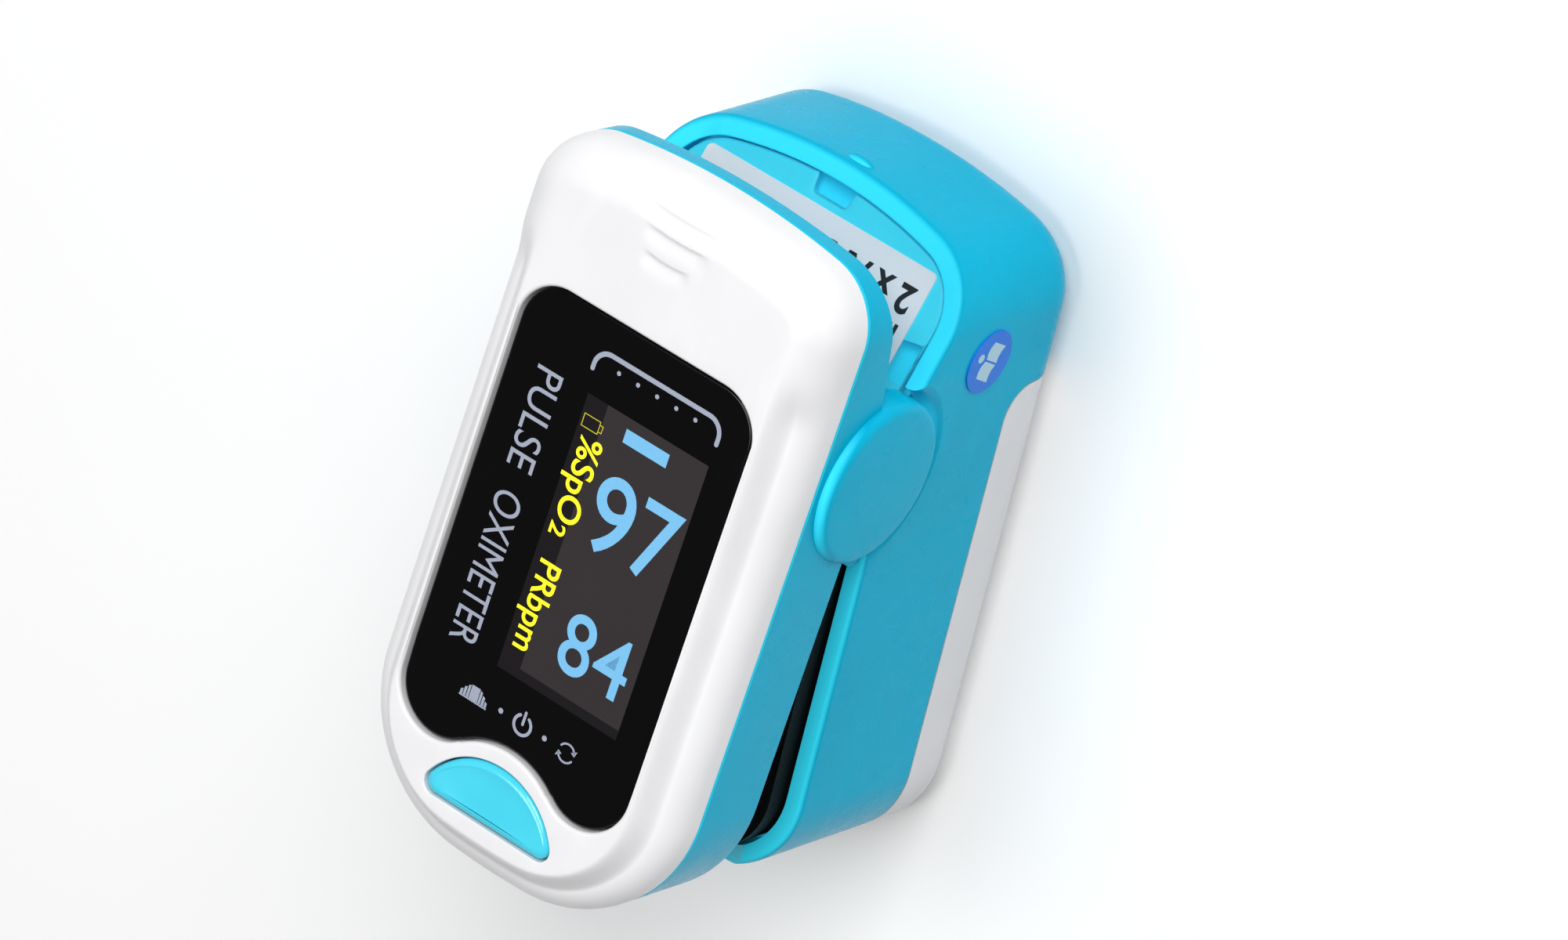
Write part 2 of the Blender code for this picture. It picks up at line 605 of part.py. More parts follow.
def wire(name, points, thickness, finish, parent):
    """A bent wire through the points."""
    curve = bpy.data.curves.new(name, "CURVE")
    curve.dimensions = "3D"
    curve.bevel_depth = thickness / 2 * MM
    curve.bevel_resolution = 1
    curve.use_fill_caps = True
    spline = curve.splines.new("POLY")
    spline.points.add(len(points) - 1)
    for spot, place in zip(spline.points, points):
        spot.co = (*(Vector(place) * MM), 1)
    made = bpy.data.objects.new(name, curve)
    made.parent = parent
    made.location = -ORIGIN_OF[parent.name] * MM
    made.data.materials.append(finish)
    PARTS.objects.link(made)
    return made


def coil_spring(name, x, start, end, turns=2.5, steps=10):
    """A conical spring that narrows towards the cell."""
    count = int(turns * steps)
    points = []
    for i in range(count + 1):
        share, turn = i / count, math.tau * i / steps
        radius = 3.6 - 1.6 * share
        across, up = radius * math.cos(turn), radius * math.sin(turn)
        points.append((x + across, start + (end - start) * share, CELL_Z + up))
    wire(name, points, 0.45, NICKEL, BASE)


def lower_finger_pad():
    outline = [p for p in plan(LOWER_PLAN, WALL + FIT) if p[1] < -20]
    edge = HALF_WIDTH - WALL - FIT
    outline += [(edge, PAD_END), (-edge, PAD_END)]
    form = leaned(extruded(outline, PAD_LEDGE + FIT, RIM))
    pad = add_object("lower_finger_pad", form, BASE, SILICONE)
    centre = HINGE_Z - CHANNEL_DEPTH + CHANNEL_RADIUS
    cut(pad, rod(CHANNEL_RADIUS, (0, -45, centre), (0, PAD_END - STOP_THICKNESS, centre), 48))
    cut(pad, rod(OPTICS_RADIUS + FIT, (0, OPTICS_Y, 15), (0, OPTICS_Y, 21), 20))


def receiver():
    low, high = BATTERY_BAY_TOP + 1.2, BATTERY_BAY_TOP + 2.0
    board = block((-5, 5), (OPTICS_Y - 6, OPTICS_Y + 6), (low, high))
    add_object("sensor_board", board, BASE, BOARD)
    chip = block((-1.8, 1.8), (OPTICS_Y - 1.8, OPTICS_Y + 1.8), (high + 0.05, high + 1.0))
    add_object("photodiode", chip, BASE, CHIP)
    top = HINGE_Z - CHANNEL_DEPTH - 0.1
    window = rod(OPTICS_RADIUS, (0, OPTICS_Y, PAD_LEDGE + 0.2), (0, OPTICS_Y, top), 20)
    add_object("sensor_window", window, BASE, CLEAR)


def ribbon_cable():
    """A flat cable from the receiver, past the hinge and up through the frame to the main board."""
    low = BATTERY_BAY_TOP + 1.4
    path = [Vector((OPTICS_Y + 6.4, low)), Vector((RIBBON_Y - 0.9, low))]
    path += [Vector((RIBBON_Y, low + 0.9)), Vector((RIBBON_Y, HINGE_Z - 2))]
    path += [opened(RIBBON_Y, UPPER_FLOOR[0] - 0.7), opened(RIBBON_Y, BOARD_LOW - 0.2)]
    last = len(path) - 1
    other = []
    for i, point in enumerate(path):
        along = (path[min(i + 1, last)] - path[max(i - 1, 0)]).normalized()
        other.append(point + Vector((-along.y, along.x)) * RIBBON_THICKNESS)
    form = sideways(extruded(path + other[::-1], -2.5, 2.5))
    add_object("ribbon_cable", form, BASE, RIBBON)


def opened(y, z):
    """Where a point (y, z) of the closed jaw lies at rest."""
    turn = math.radians(-REST_OPENING)
    above = z - HINGE_Z
    along = y * math.cos(turn) - above * math.sin(turn)
    return Vector((along, HINGE_Z + y * math.sin(turn) + above * math.cos(turn)))


def sloped(low, high):
    """A slab parallel to the falling rim, between two depths under it, as (y, z)."""
    return [(0, RIM - low), (0, RIM - high), (20, rim_height(20) - high), (20, rim_height(20) - low)]


def lever_outline(inset, start):
    half = HALF_WIDTH - inset
    end = [(x, y) for x, y in plan(LOWER_PLAN, inset) if y > start + 0.5]
    return end + [(-half, start), (half, start)]


def battery_cover():
    top, low = COVER_SUNK, COVER_SUNK + COVER_THICKNESS
    form = extruded(lever_outline(COVER_INSET, COVER_START), 5, 25)
    cover = add_object("battery_cover", form, LID, BLUE)
    keep(cover, sideways(extruded(sloped(top, low), -20, 20)))
    edge = LOWER_PLAN["lever"][0] - COVER_INSET
    cut(cover, block((-NOTCH_HALF_WIDTH, NOTCH_HALF_WIDTH), (edge - NOTCH_LENGTH, edge + 2), (0, 25)))


def rating_label():
    form = block((-10.4, 10.4), (COVER_START + 1.0, 12.4), (5, 25))
    label = add_object("rating_label", form, LID, PAPER)
    keep(label, sideways(extruded(sloped(COVER_SUNK - 0.2, COVER_SUNK - 0.06), -20, 20)))


def guide_sticker():
    y, z = STICKER_PLACE
    disc = rod(STICKER_RADIUS, (HALF_WIDTH + 0.03, y, z), (HALF_WIDTH + 0.15, y, z), 32)
    add_object("guide_sticker", disc, BASE, STICKER)


# ---- the hinge -------------------------------------------------------------------------------
def hinge():
    for side, name in ((1, "right"), (-1, "left")):
        start, end = (side * PIN_ENDS[0], 0, HINGE_Z), (side * PIN_ENDS[1], 0, HINGE_Z)
        add_object(f"hinge_pin_{name}", rod(PIN_RADIUS, start, end, 24), BASE, STEEL)
        torsion_spring(f"torsion_spring_{name}", side)


def torsion_spring(name, side, turns=3, steps=12):
    """A coil round the pin: one leg lies in the housing and one lifts the frame's lever."""
    inner, outer, radius = 7.7, 10.0, 1.9
    points = [(side * inner, 2.2, 15.2), (side * inner, radius, HINGE_Z - 1.0)]
    for i in range(turns * steps + 1):
        turn = math.tau * i / steps
        x = inner + (outer - inner) * i / (turns * steps)
        points.append((side * x, radius * math.cos(turn), HINGE_Z + radius * math.sin(turn)))
    points.append((side * outer, 3.2, HINGE_Z + 2.2))
    wire(name, points, 0.5, STEEL, BASE)


def build():
    top_cover()
    display_lens()
    oled_display()
    main_board()
    board_parts()
    power_button()
    upper_frame()
    cover_screws()
    upper_finger_pad()
    emitter()
    lower_housing()
    back_cover()
    batteries()
    battery_contacts()
    lower_finger_pad()
    receiver()
    ribbon_cable()
    battery_cover()
    rating_label()
    guide_sticker()
    hinge()


build()
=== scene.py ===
"""Fingertip pulse oximeter: the finished look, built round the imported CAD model.

Shapes are drawn in millimetres in the closed object's own frame: y from the hinge axis (mouth -,
lever end +) and z from the flat back. JAW and BASE carry them to where the two shells lie at rest.
"""

import json
import math

import bmesh
import bpy
from mathutils import Matrix, Vector
from mathutils.geometry import delaunay_2d_cdt


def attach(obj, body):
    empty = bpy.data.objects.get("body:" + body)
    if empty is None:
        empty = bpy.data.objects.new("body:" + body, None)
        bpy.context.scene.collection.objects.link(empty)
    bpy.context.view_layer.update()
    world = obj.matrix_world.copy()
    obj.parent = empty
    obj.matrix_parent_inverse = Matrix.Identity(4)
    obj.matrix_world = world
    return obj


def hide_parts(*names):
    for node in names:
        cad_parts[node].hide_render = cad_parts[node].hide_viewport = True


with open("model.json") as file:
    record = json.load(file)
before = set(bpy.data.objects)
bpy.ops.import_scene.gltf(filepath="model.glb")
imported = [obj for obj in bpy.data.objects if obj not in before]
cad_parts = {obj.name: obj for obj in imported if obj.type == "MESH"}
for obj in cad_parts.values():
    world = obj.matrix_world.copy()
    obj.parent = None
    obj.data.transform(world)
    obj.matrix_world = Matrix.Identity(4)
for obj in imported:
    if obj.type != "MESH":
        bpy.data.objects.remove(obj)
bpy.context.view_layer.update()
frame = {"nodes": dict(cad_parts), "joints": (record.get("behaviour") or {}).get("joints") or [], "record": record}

# ---- the frame's own measures ----
JOINTS = {joint["name"]: joint for joint in frame["joints"]}
HINGE = Vector(JOINTS["jaw_hinge"]["pos_m"])
OPENING = math.radians(-JOINTS["jaw_hinge"]["range_deg"][0])
MM = 0.001
BASE = Matrix.Translation((0, HINGE.y, 0)) @ Matrix.Scale(MM, 4)
JAW = (
    Matrix.Translation(HINGE)
    @ Matrix.Rotation(-OPENING, 4, "X")
    @ Matrix.Translation((0, 0, -HINGE.z))
    @ Matrix.Scale(MM, 4)
)


def closed_box(node, carry):
    """A node's lowest and highest corner in millimetres in the closed object's frame."""
    back = carry.inverted()
    spots = [back @ v.co for v in frame["nodes"][node].data.vertices]
    low = Vector([min(p[i] for p in spots) for i in range(3)])
    high = Vector([max(p[i] for p in spots) for i in range(3)])
    return low, high


COVER = closed_box("top_cover", JAW)
FRAME_BOX = closed_box("upper_frame", JAW)
LENS = closed_box("display_lens", JAW)
BUTTON = closed_box("power_button", JAW)
HOUSING = closed_box("lower_housing", BASE)
BACK = closed_box("back_cover", BASE)
UPPER_PAD = closed_box("upper_finger_pad", JAW)
LOWER_PAD = closed_box("lower_finger_pad", BASE)
LABEL = closed_box("rating_label", BASE)
STICKER = closed_box("guide_sticker", BASE)

HALF = COVER[1].x  # side wall to centre plane
HINGE_Z = HINGE.z / MM
GAP = 0.15
WALL = 1.4
BACK_EDGE = 3.2
# The lower shell's end walls lean about these heights.
LEVER_LEAN, LEVER_LEAN_FROM = math.tan(math.radians(6.0)), 12.4
MOUTH_LEAN, MOUTH_LEAN_FROM = math.tan(math.radians(7.8)), 8.0
MOUTH_CROWN = BACK[0].y + (MOUTH_LEAN_FROM - BACK_EDGE) * MOUTH_LEAN
MOUTH_CROWN += BACK_EDGE * (math.hypot(1, MOUTH_LEAN) - 1)  # the leaned round edge bulges this far
# Each end of a plan is its outermost y, its corners' radius and its bow's radius.
UPPER_PLAN = {"mouth": (COVER[0].y, 11.2, 60.0), "lever": (COVER[1].y, 5.0, 60.0)}
LOWER_PLAN = {"mouth": (MOUTH_CROWN, 8.5, 36.0), "lever": (HOUSING[1].y, 6.0, 40.0)}
PARTING = COVER[0].z + 0.15  # white cover above, light blue frame below
CREST = COVER[1].z
RIM = HINGE_Z - GAP
MOUTH_RIM = 19.5  # the rim drops beside the finger, under the ear
RIM_SLOPE = math.tan(math.radians(29.0))
BAND_SLOPE = math.tan(math.radians(17.0))
EAR_RADIUS = 6.3
EAR_FACE = FRAME_BOX[1].x
LENS_TOP = LENS[1].z
BUTTON_TOP = BUTTON[1].z
BUTTON_FLANGE, BUTTON_GAP = 0.7, 0.15
BUTTON_BULGE = 0.31  # the button's hidden flange stands this far past the ends of its arc
BACK_PARTING = 6.1
BACK_END = 2.2
RECESS_INSET, PANEL_INSET, COVER_SUNK, COVER_START = 1.5, 1.74, 0.5, 4.2
PAD_END = UPPER_PAD[1].y
CHANNEL_RADIUS, CHANNEL_DEPTH, STOP = 12.0, 3.0, 1.5
OPTICS_Y = closed_box("emitter_window", JAW)[0].y + 2.4
OPTICS_HOLE, PIN_HOLE = 2.7, 1.3
SIDE_STEPS = 44


# ---- outlines ----
def arc(centre, radius, start, end, steps):
    """Points on an arc, angles in degrees."""
    turns = [math.radians(start + (end - start) * i / steps) for i in range(steps + 1)]
    return [(centre[0] + radius * math.cos(t), centre[1] + radius * math.sin(t)) for t in turns]


def plan_end(crown, corner, bow, side, inset):
    """Half of one rounded end of a shell, from the side wall to the middle."""
    corner_x = HALF - corner
    rise = math.sqrt((bow - corner) ** 2 - corner_x**2)
    corner_y = crown - side * bow + side * rise
    meet = math.degrees(math.atan2(rise, corner_x))
    right = arc((corner_x, corner_y), corner - inset, 0, side * meet, 24)
    middle = arc((0, crown - side * bow), bow - inset, side * meet, side * 90, 12)
    half = right + middle[1:]
    return half + [(-x, y) for x, y in half[-2::-1]]


def plan(shape, inset=0.0):
    """A whole plan outline, anticlockwise and moved inwards; every inset gives as many points."""
    lever = plan_end(*shape["lever"], 1, inset)
    mouth = plan_end(*shape["mouth"], -1, inset)[::-1]
    shares = [i / SIDE_STEPS for i in range(1, SIDE_STEPS)]
    left = [Vector(lever[-1]).lerp(Vector(mouth[0]), share) for share in shares]
    right = [Vector(mouth[-1]).lerp(Vector(lever[0]), share) for share in shares]
    return [Vector(p) for p in lever] + left + [Vector(p) for p in mouth] + right


def window_outline(inset=0.0):
    """The window: rounded above, with a wave that runs round the button below."""
    side, top, corner = LENS[1].x - inset, LENS[1].y - inset, 3.4 - inset
    lobe_x, lobe_y, lobe = 6.6, -25.45, 3.7 - inset
    crest_radius = 6.6 + inset
    crest_y = -27.05 + inset - crest_radius
    meet = math.degrees(math.atan2(lobe_y - crest_y, lobe_x))
    reach = math.hypot(lobe_x, lobe_y - crest_y) * crest_radius / (crest_radius + lobe)
    right = arc((side - corner, top - corner), corner, 90, 0, 16)
    right += [(side, top - corner - (top - corner - lobe_y) * i / 12) for i in range(1, 12)]
    right += arc((lobe_x, lobe_y), lobe, 0, meet - 180, 28)
    right += arc((0, crest_y), reach, meet, 90, 16)[1:]
    half = [(right[0][0] * i / 6, top) for i in range(1, 6)] + right
    return [Vector(p) for p in [(0, top)] + half + [(-x, y) for x, y in half[-2::-1]]]


def button_outline(inset=0.0):
    """A D: an arc over a straight edge, with small corners."""
    half, corner = BUTTON[1].x - BUTTON_BULGE - inset, 0.9 - inset * 0.5
    low, crest = BUTTON[0].y + BUTTON_FLANGE + inset, BUTTON[1].y - BUTTON_FLANGE - inset
    radius = (half**2 + (crest - low) ** 2) / (2 * (crest - low))
    centre = crest - radius
    corner_x = math.sqrt((radius - corner) ** 2 - (low + corner - centre) ** 2)
    meet = math.degrees(math.atan2(low + corner - centre, corner_x))
    right = [(corner_x * i / 8, low) for i in range(8)]
    right += arc((corner_x, low + corner), corner, -90, meet, 12)
    right += arc((0, centre), radius, meet, 90, 24)[1:]
    return [Vector(p) for p in right + [(-x, y) for x, y in right[-2:0:-1]]]


def quarter(radius, steps):
    """A quarter round as pairs, from (radius, 0) to (0, radius)."""
    turns = [math.radians(90 * i / steps) for i in range(steps + 1)]
    return [(radius * (1 - math.sin(t)), radius * (1 - math.cos(t))) for t in turns]


def band_height(y):
    """Underside of the upper shell: level to the hinge, then rising."""
    return HINGE_Z + GAP + max(y, 0.0) * BAND_SLOPE


def smooth(value):
    """A soft step from 0 to 1."""
    value = min(max(value, 0.0), 1.0)
    return value * value * (3 - 2 * value)


def rim_height(y):
    """Top of the lower shell: low beside the finger, then level to the hinge, then falling."""
    return RIM - (RIM - MOUTH_RIM) * smooth((-1.5 - y) / 3.1) - max(y, 0.0) * RIM_SLOPE


def lean(y, z):
    """How far the lower shell's end walls lean at a place."""
    lever = smooth(y / 9.0) * (z - LEVER_LEAN_FROM) * LEVER_LEAN
    return lever + smooth((-20.0 - y) / 8.0) * (z - MOUTH_LEAN_FROM) * MOUTH_LEAN


# ---- making pieces ----
def solid(name, spots, faces):
    """An object from points in millimetres, facing outwards."""
    mesh = bpy.data.meshes.new(name)
    mesh.from_pydata([tuple(p) for p in spots], [], faces)
    form = bmesh.new()
    form.from_mesh(mesh)
    bmesh.ops.remove_doubles(form, verts=form.verts, dist=1e-5)
    bmesh.ops.recalc_face_normals(form, faces=form.faces)
    form.to_mesh(mesh)
    form.free()
    return shown(name, mesh)


def shown(name, data):
    """An object in the scene for a mesh, a curve, a light or a camera."""
    made = bpy.data.objects.new(name, data)
    bpy.context.scene.collection.objects.link(made)
    return made


def inside(point, loop):
    """Whether a flat point lies within a loop."""
    x, y = point
    odd = False
    for a, b in zip(loop, loop[1:] + loop[:1]):
        if (a[1] > y) != (b[1] > y) and x < (b[0] - a[0]) * (y - a[1]) / (b[1] - a[1]) + a[0]:
            odd = not odd
    return odd


def filled(outer, holes=(), extra=(), step=0.0):
    """Triangles over a flat region, with a grid of points inside it where a step is given."""
    spots, edges = [], []
    for loop in [outer, *holes]:
        first = len(spots)
        spots += [Vector(p[:2]) for p in loop]
        edges += [(first + i, first + (i + 1) % len(loop)) for i in range(len(loop))]
    spots += [Vector(p) for p in extra]
    if step:
        xs, ys = [p[0] for p in outer], [p[1] for p in outer]
        y = min(ys) + step / 2
        while y < max(ys):
            x = min(xs) + step / 2
            while x < max(xs):
                spots.append(Vector((x, y)))
                x += step
            y += step
    verts, _, faces, _, _, _ = delaunay_2d_cdt(spots, edges, [], 0, 1e-5)
    kept = []
    for face in faces:
        middle = sum((verts[i] for i in face), Vector((0, 0))) / len(face)
        if inside(middle, outer) and not any(inside(middle, hole) for hole in holes):
            kept.append(list(face))
    return verts, kept


class Skin:
    """A surface put together from rings and filled regions, welded when it is made."""

    def __init__(self):
        self.spots, self.faces = [], []

    def rings(self, rings):
        count = len(rings[0])
        first = len(self.spots)
        for ring in rings:
            self.spots += [tuple(p) for p in ring]
        for start in range(first, first + (len(rings) - 1) * count, count):
            for i in range(count):
                a, b = start + i, start + (i + 1) % count
                self.faces.append((a, b, b + count, a + count))

    def fill(self, outer, height, holes=(), extra=(), step=0.0):
        verts, faces = filled(outer, holes, extra, step)
        first = len(self.spots)
        self.spots += [(p.x, p.y, height(p.x, p.y)) for p in verts]
        self.faces += [[first + i for i in face] for face in faces]

    def make(self, name):
        return solid(name, self.spots, self.faces)


def at(outline, height):
    """A flat outline as a ring at one height."""
    return [(p[0], p[1], height) for p in outline]


def flat(height):
    """A level surface, for filling."""
    return lambda x, y: height


def closed(name, rings, first, last, first_step=0.0, last_step=0.0):
    """A form from rings, with its first and last ring filled by surfaces."""
    skin = Skin()
    skin.rings(rings)
    skin.fill([p[:2] for p in rings[0]], first, step=first_step)
    skin.fill([p[:2] for p in rings[-1]], last, step=last_step)
    return skin.make(name)


def level(shape, inset, height):
    """A ring of a plan outline at a height that may depend on y."""
    rise = height if callable(height) else lambda y: height
    return [(p.x, p.y, rise(p.y)) for p in plan(shape, inset)]


def lower_level(inset, height):
    """A ring of the lower plan, leaned, at a height that depends on y."""
    ring = []
    for p in plan(LOWER_PLAN, inset):
        y = p.y + lean(p.y, height(p.y))
        ring.append((p.x, y, height(y)))
    return ring


def leaned(made):
    """Leans a form's ends as the lower shell's walls lean."""
    for vertex in made.data.vertices:
        vertex.co.y += lean(vertex.co.y, vertex.co.z)
    return made


def prism(outline, low, high, name="cutter"):
    """An outline drawn up in Z, for cutting."""
    return closed(name, [at(outline, low), at(outline, high)], flat(low), flat(high))


def sideways(outline):
    """An outline in (y, z) drawn across the whole width, for cutting."""
    made = prism(outline, -20.0, 20.0)
    made.data.transform(Matrix(((0, 0, 1), (1, 0, 0), (0, 1, 0))).to_4x4())
    return made


def turned(profile, side):
    """A profile of (x, radius) turned round the hinge axis."""
    spots, faces, steps = [], [], 96
    for x, radius in profile:
        for i in range(steps):
            turn = math.tau * i / steps
            spots.append((side * x, radius * math.cos(turn), HINGE_Z + radius * math.sin(turn)))
    for row in range(len(profile) - 1):
        for i in range(steps):
            a, b = row * steps + i, row * steps + (i + 1) % steps
            faces.append((a, b, b + steps, a + steps))
    faces.append(tuple(range(steps)))
    faces.append(tuple(range((len(profile) - 1) * steps, len(profile) * steps)))
    return solid("turned", spots, faces)


def rod(radius, start, end, sides=64):
    """A cylinder between two points."""
    start, end = Vector(start), Vector(end)
    across = (end - start).orthogonal().normalized()
    other = (end - start).normalized().cross(across)
    spots = []
    for centre in (start, end):
        for i in range(sides):
            turn = math.tau * i / sides
            spots.append(centre + radius * (across * math.cos(turn) + other * math.sin(turn)))
    faces = [(i, (i + 1) % sides, sides + (i + 1) % sides, sides + i) for i in range(sides)]
    faces += [tuple(range(sides)), tuple(range(sides, 2 * sides))]
    return solid("rod", spots, faces)


def pebble(centre, radii):
    """A squashed ball."""
    steps, rows = 24, 12
    skin = Skin()
    rings = []
    for row in range(1, rows):
        across, rise = math.sin(math.pi * row / rows), -math.cos(math.pi * row / rows)
        ring = []
        for turn in (math.tau * i / steps for i in range(steps)):
            way = (across * math.cos(turn), across * math.sin(turn), rise)
            ring.append([centre[axis] + radii[axis] * way[axis] for axis in range(3)])
        rings.append(ring)
    skin.rings(rings)
    skin.faces.append(tuple(range(steps)))
    skin.faces.append(tuple(range(len(skin.spots) - steps, len(skin.spots))))
    return skin.make("pebble")


def block(x, y, z):
    corners = [(x[0], y[0]), (x[1], y[0]), (x[1], y[1]), (x[0], y[1])]
    return prism(corners, *z)


def combine(target, operation, *others):
    """Applies Booleans to the target and removes the other forms."""
    for other in others:
        modifier = target.modifiers.new("boolean", "BOOLEAN")
        modifier.operation = operation
        modifier.solver = "EXACT"
        modifier.object = other
        graph = bpy.context.evaluated_depsgraph_get()
        graph.update()
        mesh = bpy.data.meshes.new_from_object(target.evaluated_get(graph))
        target.modifiers.clear()
        old = target.data
        target.data = mesh
        bpy.data.meshes.remove(old)
        bpy.data.objects.remove(other, do_unlink=True)
    return target


def shade_smooth(mesh, sharp):
    """Smooth shading, with edges sharper than this many degrees kept."""
    for polygon in mesh.polygons:
        polygon.use_smooth = True
    mesh.set_sharp_from_angle(angle=math.radians(sharp))


def piece(made, carry, body, finish, replaces=(), sharp=32):
    """Puts a form where its shell lies, and says what it is."""
    if carry:
        made.data.transform(carry)
    made.data.materials.clear()
    made.data.materials.append(finish)
    shade_smooth(made.data, sharp)
    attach(made, body)
    if replaces:
        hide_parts(*replaces)
    return made


# ---- materials ----
class Nodes:
    def __init__(self, name):
        self.made = bpy.data.materials.new(name)
        self.made.use_nodes = True
        self.tree = self.made.node_tree
        self.shader = self.tree.nodes["Principled BSDF"]
        self.place = self.tree.nodes.new("ShaderNodeTexCoord").outputs["Object"]

    def add(self, kind, **values):
        node = self.tree.nodes.new(kind)
        for key, value in values.items():
            if key in node.inputs:
                node.inputs[key].default_value = value
            else:
                setattr(node, key, value)
        return node

    def link(self, out, into):
        self.tree.links.new(out, into)

    def into(self, socket, value):
        """Feeds one of the shader's own sockets."""
        self.link(value, self.shader.inputs[socket])

    def noise(self, size_mm, detail=3.0, rough=0.5, stretch=None):
        """Noise whose features are about this size."""
        node = self.add("ShaderNodeTexNoise", Scale=1 / (size_mm * MM), Detail=detail, Roughness=rough)
        start = self.place
        if stretch:
            mapping = self.add("ShaderNodeMapping")
            mapping.inputs["Scale"].default_value = stretch
            self.link(self.place, mapping.inputs["Vector"])
            start = mapping.outputs["Vector"]
        self.link(start, node.inputs["Vector"])
        return node.outputs["Fac"]

    def spread(self, value, low, high, start=0.0, end=1.0):
        node = self.add("ShaderNodeMapRange")
        for key, number in (("From Min", start), ("From Max", end), ("To Min", low), ("To Max", high)):
            node.inputs[key].default_value = number
        self.link(value, node.inputs["Value"])
        return node.outputs["Result"]

    def blend(self, factor, one, two, mode="MIX"):
        node = self.add("ShaderNodeMix", data_type="RGBA", blend_type=mode)
        self.link(factor, node.inputs[0])
        for value, socket in ((one, node.inputs[6]), (two, node.inputs[7])):
            if isinstance(value, tuple):
                socket.default_value = (*value, 1)
            else:
                self.link(value, socket)
        return node.outputs[2]

    def bump(self, value, strength, depth_mm):
        node = self.add("ShaderNodeBump", Strength=strength, Distance=depth_mm * MM)
        self.link(value, node.inputs["Height"])
        self.into("Normal", node.outputs["Normal"])

    def glow(self, colour, strength):
        self.shader.inputs["Emission Color"].default_value = (*colour, 1)
        self.shader.inputs["Emission Strength"].default_value = strength

    def set(self, **values):
        for key, value in values.items():
            self.shader.inputs[key.replace("_", " ")].default_value = value


def darker(colour, share):
    return tuple(part * share for part in colour)


def moulded(name, colour, roughness, worn, coat=0.0, grain=0.5, bump=0.18, specular=0.5, painted_top_light=None):
    """Moulded plastic: fine spark texture, faint flow variation, light scuffs, and painted light on upward faces,
    which are blended paler and glow faintly.
    """
    n = Nodes(name)
    flow = n.noise(14.0, 2.0)
    patch = n.noise(3.0, 4.0, 0.6)
    grains = n.noise(grain, 2.0, 0.7)
    body = n.blend(n.spread(flow, 0.0, 1.0, 0.3, 0.7), darker(colour, 0.93), colour)
    # Painted highlight: faces that point up turn paler and glow a little, as if lit from above.
    if painted_top_light:
        facing = n.add("ShaderNodeSeparateXYZ")
        n.link(n.add("ShaderNodeNewGeometry").outputs["Normal"], facing.inputs["Vector"])
        body = n.blend(n.spread(facing.outputs["Z"], 0.0, 1.0, 0.45, 0.9), body, painted_top_light)
        n.glow(painted_top_light, 0.0)
        n.into("Emission Strength", n.spread(facing.outputs["Z"], 0.0, 0.2, 0.45, 0.9))
    rubbed = n.spread(n.noise(4.0, 3.0, 0.6, stretch=(1.0, 0.3, 1.0)), 0.0, 0.3, 0.55, 0.75)
    n.into("Base Color", n.blend(rubbed, body, worn))
    n.into("Roughness", n.spread(patch, *roughness, 0.3, 0.7))
    n.bump(grains, bump, 0.012)
    n.set(Specular_IOR_Level=specular, Coat_Weight=coat, Coat_Roughness=0.12)
    return n.made


def silicone(name):
    """Matt black rubber with a little dust."""
    n = Nodes(name)
    cloud = n.spread(n.noise(2.0, 4.0), 0, 1, 0.3, 0.7)
    dust = n.noise(0.25, 2.0, 0.8)
    n.into("Base Color", n.blend(cloud, (0.002, 0.002, 0.0025), (0.004, 0.004, 0.0045)))
    n.into("Roughness", n.spread(dust, 0.5, 0.72, 0.3, 0.7))
    n.bump(dust, 0.25, 0.02)
    n.set(Specular_IOR_Level=0.12, Sheen_Weight=0.01)
    return n.made


def metal(name, colour, roughness):
    """Drawn metal with fine marks across it."""
    n = Nodes(name)
    drawn = n.noise(0.4, 3.0, 0.6, stretch=(0.1, 1.0, 1.0))
    n.into("Base Color", n.blend(drawn, darker(colour, 0.85), colour))
    n.into("Roughness", n.spread(drawn, roughness - 0.08, roughness + 0.1))
    n.bump(drawn, 0.15, 0.01)
    n.set(Metallic=1.0)
    return n.made


def printed(name, colour, roughness=0.4, glow=0.0):
    """Screen-printed ink or lit figures, with a slightly uneven tone."""
    n = Nodes(name)
    mottle = n.noise(0.35, 2.0)
    n.into("Base Color", n.blend(mottle, darker(colour, 0.9), colour))
    n.into("Roughness", n.spread(mottle, roughness - 0.05, roughness + 0.05))
    n.bump(mottle, 0.05, 0.005)
    if glow:
        n.glow(colour, glow)
    return n.made


def window_black(name):
    """The gloss black window, with hairline scuffs along it."""
    n = Nodes(name)
    haze = n.noise(5.0, 4.0, 0.6)
    scuff = n.noise(0.5, 3.0, 0.7, stretch=(1.0, 0.15, 1.0))
    n.into("Base Color", n.blend(haze, (0.0012, 0.0012, 0.0015), (0.0022, 0.0022, 0.0026)))
    n.into("Roughness", n.spread(scuff, 0.06, 0.11, 0.35, 0.7))
    n.bump(haze, 0.04, 0.02)
    n.set(Specular_IOR_Level=0.25)
    return n.made


def pixels(name, colour, glow):
    """The lit panel behind the window, with its faint rows of pixels."""
    n = Nodes(name)
    row_pitch = 0.17 * MM
    rows = n.add("ShaderNodeTexWave", Scale=1 / row_pitch / 6.2832, bands_direction="Y")
    n.link(n.place, rows.inputs["Vector"])
    tone = n.spread(rows.outputs["Fac"], 0.95, 1.0)
    haze = n.noise(4.0, 2.0)
    base = n.blend(haze, darker(colour, 0.92), colour)
    n.into("Base Color", n.blend(tone, (0.0, 0.0, 0.0), base))
    n.glow(colour, glow)
    n.into("Roughness", n.spread(haze, 0.1, 0.16))
    n.bump(haze, 0.02, 0.01)
    n.set(Specular_IOR_Level=0.25)
    return n.made


